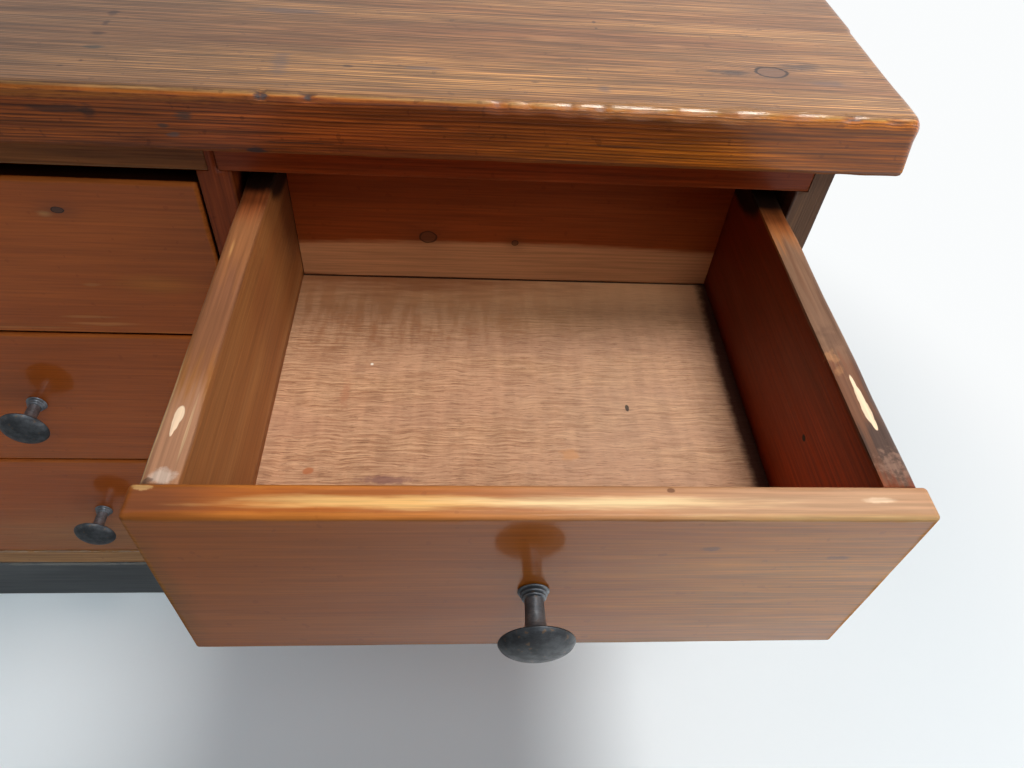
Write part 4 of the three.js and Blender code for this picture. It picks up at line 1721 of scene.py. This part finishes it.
def open_drawer() -> DrawerMarks:
    """Returns what shows on the drawer that stands open: stains and wear, with painted shade, painted light
    and painted sheen.
    """
    rim = Face(2, 0.5625, 0.004, ALONG_X)
    face = Face(1, -0.255, 0.004, ALONG_X)
    nick = Face(1, -0.255, 0.003, EVEN)
    edge = Face(2, 0.5605, 0.003, ALONG_Y)
    worn = Face(2, 0.5605, 0.004, EVEN)
    left_wall = Face(0, 0.0335, 0.0040, EVEN)
    right_wall = Face(0, 0.3570, 0.0040, EVEN)
    rear_wall = Face(1, 0.035, 0.006, ALONG_X)
    base = Face(2, 0.4535, 0.003, EVEN)
    return DrawerMarks(
        front_tone=(1.0, 1.0, 1.0),
        metal=KNOB_METAL,
        front=(
            rim.mark((0.015, -0.247), (0.060, 0.020), tint(0.16, 0.042, 0.010), 0.85, 0.2, 0.8, depth=0.005),
            rim.mark((0.330, -0.247), (0.260, 0.030), tint(0.52, 0.30, 0.17), 0.95, 0.15, 1.0, depth=0.005),
            rim.mark((0.125, -0.2470), (0.095, 0.0050), STRAW, 0.85, 0.5, 0.8),
            rim.mark((0.225, -0.2470), (0.095, 0.0048), tint(0.93, 0.66, 0.35), 0.85, 0.5, 0.9),
            rim.mark((0.351, -0.2452), (0.010, 0.0020), CREAM, 0.6, 0.4, 0.7, depth=0.003, fray=EVEN),
            rim.mark((0.2536, -0.2402), (0.0022, 0.0015), tint(0.14, 0.05, 0.02), 0.8, 0.5, 0.4, depth=0.003,
                     fray=EVEN),
            rim.mark((0.019, -0.2395), (0.006, 0.0020), tint(0.58, 0.33, 0.13), 0.8, 0.9, 0.5, fray=EVEN),
            rim.mark((0.026, -0.2373), (0.004, 0.0010), SOOT, 0.7, 0.5, 0.5, fray=EVEN),
            # Painted sheen: the right of the front face is lighter and paler.
            face.wash((0.345, 0.490), (0.190, 0.130), (1.40, 1.90, 1.50), 0.2, 1.0),
            face.wash((0.014, 0.490), (0.016, 0.120), (0.70, 0.85, 0.85), 0.5, 1.0, fray=(60.0, 300.0, 60.0)),
            face.wash((0.195, 0.4275), (0.300, 0.008), (0.72, 0.86, 0.86), 0.5, 1.0),
            nick.mark((0.2769, 0.5353), (0.007, 0.0025), tint(0.13, 0.06, 0.04), 0.6, 0.6, 0.7),
            nick.mark((0.3429, 0.5266), (0.008, 0.0025), tint(0.13, 0.06, 0.04), 0.6, 0.6, 0.7),
        ),
        side_left=(
            left_wall.mark((-0.0700, 0.5000), (0.0450, 0.090), tint(0.20, 0.062, 0.022), 0.45, 0.2, 0.9),
            # Painted shade: the rear of the inner face, under the rail, is darkened.
            left_wall.mark((0.0300, 0.5200), (0.0450, 0.060), tint(0.085, 0.018, 0.005), 0.8, 0.2, 0.7),
            edge.mark((0.0245, -0.0500), (0.0240, 0.0800), tint(0.30, 0.115, 0.045), 0.9, 0.2, 0.4),
            edge.mark((0.0245, -0.1300), (0.0240, 0.0600), tint(0.235, 0.092, 0.046), 0.8, 0.6, 0.6),
            edge.mark((0.0250, -0.2150), (0.0240, 0.0500), tint(0.38, 0.19, 0.110), 0.85, 0.5, 0.6),
            edge.mark((0.0219, -0.0700), (0.0015, 0.0140), tint(0.55, 0.28, 0.10), 0.6, 0.5, 0.8),
            edge.mark((0.0170, -0.1950), (0.0011, 0.0550), tint(0.62, 0.40, 0.20), 0.7, 0.7, 0.5,
                      level=0.5595, depth=0.006),
            edge.mark((0.0158, -0.2080), (0.0010, 0.0350), tint(0.10, 0.045, 0.025), 0.85, 0.9, 0.5,
                      level=0.5590, depth=0.006),
            edge.mark((0.0300, -0.2100), (0.0009, 0.0250), tint(0.62, 0.40, 0.22), 0.6, 0.7, 0.6),
            worn.chip((0.0241, -0.1972), (0.0024, 0.0062), 0.1),
            worn.chip((0.0236, -0.2010), (0.0019, 0.0070), 0.1),
            worn.chip((0.0232, -0.2042), (0.0012, 0.0066), 0.1),
            worn.mark((0.0258, -0.2325), (0.0068, 0.0055), tint(0.60, 0.45, 0.36), 0.8, 0.7, 0.6),
            worn.mark((0.0190, -0.2350), (0.0035, 0.0020), tint(0.09, 0.045, 0.03), 0.8, 0.9, 0.5,
                      level=0.5600, depth=0.006),
            # Painted shade: the rear of the top darkens toward the rail and is near-black behind it.
            edge.wash((0.0245, -0.0100), (0.0240, 0.0450), (0.95, 0.58, 0.40), 0.2, 0.8),
            worn.mark((0.0245, 0.0300), (0.0300, 0.0480), SHADE, 0.98, 0.05, 0.25, depth=0.024, varnish=0.0),
        ),
        side_right=(
            right_wall.mark((-0.1700, 0.5000), (0.1300, 0.100), tint(0.36, 0.048, 0.004), 0.75, 0.2, 1.0),
            # Painted light: the front of the inner face, toward its top, is lightened.
            right_wall.wash((-0.2300, 0.5250), (0.1100, 0.120), (1.9, 1.7, 0.8), 0.2, 1.0, fray=ALONG_Y),
            right_wall.mark((-0.1690, 0.5114), (0.0026, 0.0024), tint(0.006, 0.003, 0.002), 1.0, 0.3, 0.4),
            edge.mark((0.3665, -0.0300), (0.0240, 0.0700), tint(0.33, 0.125, 0.040), 0.95, 0.2, 0.3),
            edge.mark((0.3665, -0.1050), (0.0240, 0.0720), tint(0.20, 0.108, 0.065), 0.95, 0.4, 0.4),
            edge.mark((0.3665, -0.1950), (0.0240, 0.0550), tint(0.17, 0.078, 0.045), 0.9, 0.6, 0.5),
            edge.mark((0.3700, -0.2130), (0.0170, 0.0260), tint(0.060, 0.036, 0.030), 0.92, 0.6, 0.6,
                      depth=0.004),
            edge.mark((0.3735, -0.1750), (0.0045, 0.0400), tint(0.070, 0.042, 0.034), 0.8, 0.7, 0.7,
                      depth=0.004),
            edge.mark((0.3635, -0.0750), (0.0030, 0.0450), tint(0.12, 0.050, 0.026), 0.6, 0.9, 0.9,
                      depth=0.004),
            edge.mark((0.3715, -0.1050), (0.0035, 0.0550), tint(0.11, 0.050, 0.028), 0.7, 0.9, 0.9,
                      depth=0.004),
            worn.mark((0.3660, -0.1350), (0.0100, 0.0140), tint(0.12, 0.060, 0.038), 0.6, 0.9, 0.9),
            worn.mark((0.3612, -0.1500), (0.0044, 0.0060), tint(0.42, 0.20, 0.09), 0.6, 1.6, 0.9),
            worn.mark((0.3622, -0.1620), (0.0034, 0.0060), tint(0.38, 0.18, 0.08), 0.55, 1.6, 0.9),
            worn.mark((0.3680, -0.2240), (0.0110, 0.0120), tint(0.30, 0.17, 0.12), 0.6, 1.5, 1.0,
                      fray=(320.0, 320.0, 320.0)),
            worn.chip((0.3668, -0.1895), (0.0026, 0.0095), 0.15),
            worn.chip((0.3666, -0.1810), (0.0021, 0.0110), 0.15),
            worn.chip((0.3664, -0.1730), (0.0012, 0.0100), 0.15),
            worn.chip((0.3674, -0.1970), (0.0015, 0.0055), 0.1),
            # Painted shade: the rear of the top darkens toward the rail and is near-black behind it.
            edge.wash((0.3665, -0.0180), (0.0240, 0.0340), (0.72, 0.52, 0.42), 0.2, 0.8),
            worn.mark((0.3665, 0.0270), (0.0300, 0.0480), SHADE, 0.98, 0.05, 0.25, depth=0.024, varnish=0.0),
        ),
        back=(
            # Painted light: a lighter strip low on the inside of the back, where light reaches under the
            # plank.
            rear_wall.mark((0.195, 0.4700), (0.300, 0.0225), tint(0.58, 0.28, 0.125), 0.9, 0.12, 0.25),
        ),
        back_knots=(
            Knot((0.132, 0.035, 0.4938), 5.2 * MM, 1.25, tint(0.075, 0.028, 0.014)),
            Knot((0.1986, 0.035, 0.4906), 2.5 * MM, 1.0, tint(0.060, 0.024, 0.012), 0.9),
        ),
        base=(
            # Painted light: the rear of the base, in the plank's shade, is lightened.
            base.mark((0.195, 0.030), (0.50, 0.070), tint(0.85, 0.44, 0.20), 0.75, 0.1, 0.9),
            base.mark((0.110, 0.036), (0.20, 0.040), tint(0.25, 0.070, 0.020), 0.74, 0.5, 1.0,
                      fray=(26.0, 210.0, 60.0)),
            base.mark((0.195, 0.0354), (0.40, 0.0010), SHADE, 0.9, 0.0, 0.3),
            # Painted light on the right third of the base, and a painted shadow along its right edge beside
            # the side.
            base.mark((0.280, -0.110), (0.13, 0.12), tint(0.62, 0.43, 0.31), 0.22, 0.3, 1.0),
            base.mark((0.3575, -0.100), (0.0135, 0.24), tint(0.040, 0.008, 0.003), 0.97, 0.15, 0.5),
            base.mark((0.2737, -0.0989), (0.0016, 0.0036), tint(0.05, 0.04, 0.035), 0.9, 0.4, 0.3),
            base.mark((0.0951, -0.0609), (0.0013, 0.0013), tint(0.85, 0.78, 0.66), 0.9, 0.1, 0.4),
            base.mark((0.112, -0.1600), (0.024, 0.0042), tint(0.20, 0.085, 0.075), 0.7, 0.6, 0.7),
            base.mark((0.0635, -0.1537), (0.0040, 0.0036), tint(0.44, 0.15, 0.06), 0.9, 0.5, 0.4),
            base.mark((0.0795, -0.0900), (0.0040, 0.0160), tint(0.42, 0.16, 0.08), 0.5, 0.8, 0.7),
            base.mark((0.2299, -0.1398), (0.0080, 0.0060), tint(0.60, 0.28, 0.12), 0.6, 0.8, 0.6),
        ),
        figure=base.mark((0.09, 0.045), (0.24, 0.105), tint(0.34, 0.115, 0.042), 0.95, 0.4, 0.7, depth=0.010),
    )


def bottom_left_drawer() -> DrawerMarks:
    """Returns what shows on the bottom left drawer: painted shade in the gap over it, and a painted grey
    reflection across its front.
    """
    face = Face(1, -0.008, 0.004, ALONG_X)
    return DrawerMarks(
        front=(
            gap_over(0.2605),
            # Painted reflection: a greyer colour across the front.
            face.mark((-0.200, 0.1250), (0.260, 0.0800), tint(0.285, 0.19, 0.083), 0.45, 0.2, 1.0),
        ),
    )


def top_left_drawer() -> DrawerMarks:
    """Returns what shows on the top left drawer, with painted shade in the gaps over and beside its front."""
    face = Face(1, -0.008, 0.003, ALONG_X)
    # Painted shade in the gap beside the front.
    gap_beside = Mark((-0.0115, 0.000, 0.4950), (0.0050, 0.0078, 0.100), SHADE, 0.95, 0.05, 0.25, varnish=0.0)
    return DrawerMarks(
        front=(
            gap_over(0.5625),
            gap_beside,
            face.mark((-0.117, 0.4436), (0.024, 0.0016), FLAME, 0.35, 1.0, 0.8),
            face.mark((-0.110, 0.4366), (0.036, 0.0022), FLAME, 0.35, 1.0, 0.8),
            face.mark((-0.173, 0.4317), (0.050, 0.0022), FLAME, 0.30, 1.0, 0.8),
            face.mark((-0.107, 0.4751), (0.008, 0.0020), FLAME, 0.30, 0.8, 0.8),
            face.mark((-0.061, 0.4766), (0.040, 0.0140), tint(0.62, 0.24, 0.02), 0.22, 0.3, 1.0),
            face.mark((-0.116, 0.5360), (0.007, 0.0035), tint(0.65, 0.33, 0.10), 0.45, 0.5, 0.8),
        ),
        front_knots=(Knot((-0.1067, -0.008, 0.539), 2.4 * MM, 1.7, tint(0.030, 0.020, 0.018), 1.0),),
    )


# ---- Runners --------------------------------------------------------------------------------


@dataclass
class Runners:
    """The plain wooden runners on the walls of the bays."""

    def build(self) -> None:
        """Builds all twelve."""
        seed = 400
        for row in Row:
            for column in Hand:
                for end in Hand:
                    seed += 1
                    node = f"runner_{row.value}_{column.word}_{end.word}"
                    low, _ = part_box(node)
                    board = Board(node, Grain.DEEP, seed, easing=(0.7 * MM,) * 3, spacing=15 * MM,
                                  pith=(0.0, low.z - 0.05, low.x + 0.03))
                    finish_piece(board.build(), RUNNER_WOOD.dress(node + "_finish", board))


# ---- Studio ---------------------------------------------------------------------------------


@dataclass
class Studio:
    """The camera, the lamps, the surroundings and the floor."""

    camera_place: Triple = (0.1550, -0.4277, 0.8416)
    camera_lens: float = 26.08
    camera_yaw: float = 6.41
    camera_pitch: float = 47.80
    camera_roll: float = 5.617
    floor_colour: Colour = tint(0.80, 0.845, 0.875)
    floor_half: float = 6.0
    floor_fade: Pair = (0.55, 1.0)
    surround: float = 0.02

    def build_camera(self) -> None:
        """Sets the camera above the open drawer."""
        camera = bpy.data.cameras.new("camera")
        camera.lens = self.camera_lens
        camera.clip_start = 0.02
        stand = bpy.data.objects.new("camera", camera)
        turn = (
            Matrix.Rotation(math.radians(-self.camera_yaw), 4, "Z")
            @ Matrix.Rotation(math.radians(90.0 - self.camera_pitch), 4, "X")
            @ Matrix.Rotation(math.radians(self.camera_roll), 4, "Z")
        )
        stand.matrix_world = Matrix.Translation(self.camera_place) @ turn
        bpy.context.scene.collection.objects.link(stand)
        bpy.context.scene.camera = stand

    def lamp(
        self, name: str, place: Triple, target: Triple, size: float, power: float, hue: Triple,
        spread: float = 180.0,
    ) -> None:
        """Adds one soft square lamp.

        Args:
            name: The lamp's name.
            place: Where it hangs.
            target: What it points at.
            size: The length of its sides.
            power: Its power in watts.
            hue: Its colour.
            spread: How wide its light opens, in degrees.
        """
        light = bpy.data.lights.new(name, "AREA")
        light.shape, light.size = "SQUARE", size
        light.energy, light.color = power, hue
        light.spread = math.radians(spread)
        stand = bpy.data.objects.new(name, light)
        toward = Vector(target) - Vector(place)
        stand.matrix_world = Matrix.Translation(place) @ toward.to_track_quat("-Z", "Y").to_matrix().to_4x4()
        bpy.context.scene.collection.objects.link(stand)

    def build_lamps(self) -> None:
        """Hangs two lamps overhead, one in front and one to the right."""
        middle = (0.2, -0.1, 0.4)
        self.lamp("lamp_overhead", (0.77, -0.05, 2.70), (0.3, -0.1, 0.45), 0.75, 31.5, (1.0, 0.985, 0.955))
        self.lamp("lamp_pool", (0.77, -0.05, 2.70), (1.0, -0.2, 0.0), 0.75, 2.9, (1.0, 0.985, 0.955), 68.0)
        self.lamp("lamp_front", (0.60, -1.20, 2.40), middle, 1.0, 15.5, (0.87, 0.95, 1.0))
        self.lamp("lamp_right", (1.60, -0.70, 1.30), middle, 0.8, 6.5, (0.95, 0.98, 1.0))
        self.lamp("lamp_floor", (-0.90, -0.50, 1.50), (-0.37, -0.11, 0.0), 0.4, 0.24, (0.76, 0.92, 1.0), 34.0)

    def build_surround(self) -> None:
        """Makes the surroundings white to the eye and dim as a light; in reflections they are a painted
        reflection, dim on the left and bright on the right.
        """
        world = bpy.data.worlds.new("surround")
        world.use_nodes = True
        graph = Graph(world.node_tree)
        path = graph.node("ShaderNodeLightPath").outputs
        sky = graph.node("ShaderNodeBackground")
        sky.inputs["Color"].default_value = tint(0.95, 0.97, 1.0)
        east = graph.split(graph.node("ShaderNodeTexCoord").outputs["Generated"])[0]
        # Painted reflection: in glossy rays only, the surroundings are dim on the left and bright on the
        # right.
        seen = graph.ease(east, -0.9, 0.9, 0.40, 1.15)
        seen = graph.math("MULTIPLY", path["Is Glossy Ray"], seen)
        for rays in ("Is Camera Ray", "Is Transmission Ray"):
            seen = graph.math("MAXIMUM", seen, path[rays])
        graph.feed(sky.inputs["Strength"], graph.math("MAXIMUM", seen, self.surround))
        output = graph.node("ShaderNodeOutputWorld")
        graph.feed(output.inputs["Surface"], sky.outputs[0])
        bpy.context.scene.world = world

    def build_floor(self) -> None:
        """Lays the floor, plain to the eye and fading to white away from the dresser, with a painted
        reflection: in reflections it is darker on the left and brighter on the right.
        """
        half = self.floor_half
        mesh = bpy.data.meshes.new("floor")
        corners = [(-half, -half, 0.0), (half, -half, 0.0), (half, half, 0.0), (-half, half, 0.0)]
        mesh.from_pydata(corners, [], [(0, 1, 2, 3)])
        floor = bpy.data.objects.new("floor", mesh)
        bpy.context.scene.collection.objects.link(floor)
        material, graph, shader, spot = principled("floor_finish")
        shade = graph.ease(graph.cloud(spot, (1.5, 1.5, 1.5), 2.0), 0.3, 0.7, 0.985, 1.015)
        path = graph.node("ShaderNodeLightPath").outputs
        # Painted reflection: in glossy rays only, the floor and its white fade are darker on the left and
        # brighter on the right.
        gain = graph.ease(graph.split(spot)[0], -0.25, 0.55, -0.68, 0.4)
        painted_reflection = graph.total(1.0, graph.math("MULTIPLY", path["Is Glossy Ray"], gain))
        shade = graph.math("MULTIPLY", shade, painted_reflection)
        graph.feed(shader.inputs["Base Color"], graph.shade(self.floor_colour, shade))
        shader.inputs["Roughness"].default_value = 0.55
        away = graph.vector("LENGTH", graph.vector("SUBTRACT", spot, (0.15, 0.0, 0.0)))
        white = graph.node("ShaderNodeEmission")
        white.inputs["Color"].default_value = tint(0.96, 0.975, 0.98)
        graph.feed(white.inputs["Strength"], painted_reflection)
        seen = graph.math("MAXIMUM", path["Is Camera Ray"], path["Is Glossy Ray"])
        seen = graph.math("MAXIMUM", seen, path["Is Transmission Ray"])
        far = graph.math("MULTIPLY", seen, graph.ease(away, *self.floor_fade))
        blend = graph.node("ShaderNodeMixShader")
        for socket, source in zip(blend.inputs, (far, shader.outputs[0], white.outputs[0])):
            graph.feed(socket, source)
        graph.feed(graph.tree.nodes["Material Output"].inputs["Surface"], blend.outputs[0])
        mesh.materials.append(material)

    def build(self) -> None:
        """Sets up everything that isn't the dresser."""
        self.build_camera()
        self.build_lamps()
        self.build_surround()
        self.build_floor()
        bpy.context.scene.view_settings.view_transform = "Standard"


# ---- The whole dresser ----------------------------------------------------------------------


def main() -> None:
    """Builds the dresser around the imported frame, and keeps its sizes."""
    logging.basicConfig(level=logging.INFO, format="%(name)s %(message)s")
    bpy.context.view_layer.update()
    Studio().build()
    PlankTop().build()
    Carcass().build()
    Runners().build()
    own_marks = {
        (Row.TOP, Hand.RIGHT): open_drawer(),
        (Row.TOP, Hand.LEFT): top_left_drawer(),
        (Row.BOTTOM, Hand.LEFT): bottom_left_drawer(),
    }
    seed = 50
    for row in Row:
        for column in Hand:
            seed += 1
            _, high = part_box(f"drawer_{row.value}_{column.word}_front")
            # Every shut drawer has painted shade in the gap over its front.
            plain = DrawerMarks(front=(gap_over(high.z),))
            Drawer(row, column, seed, own_marks.get((row, column), plain)).build()


if __name__ == "__main__":
    main()
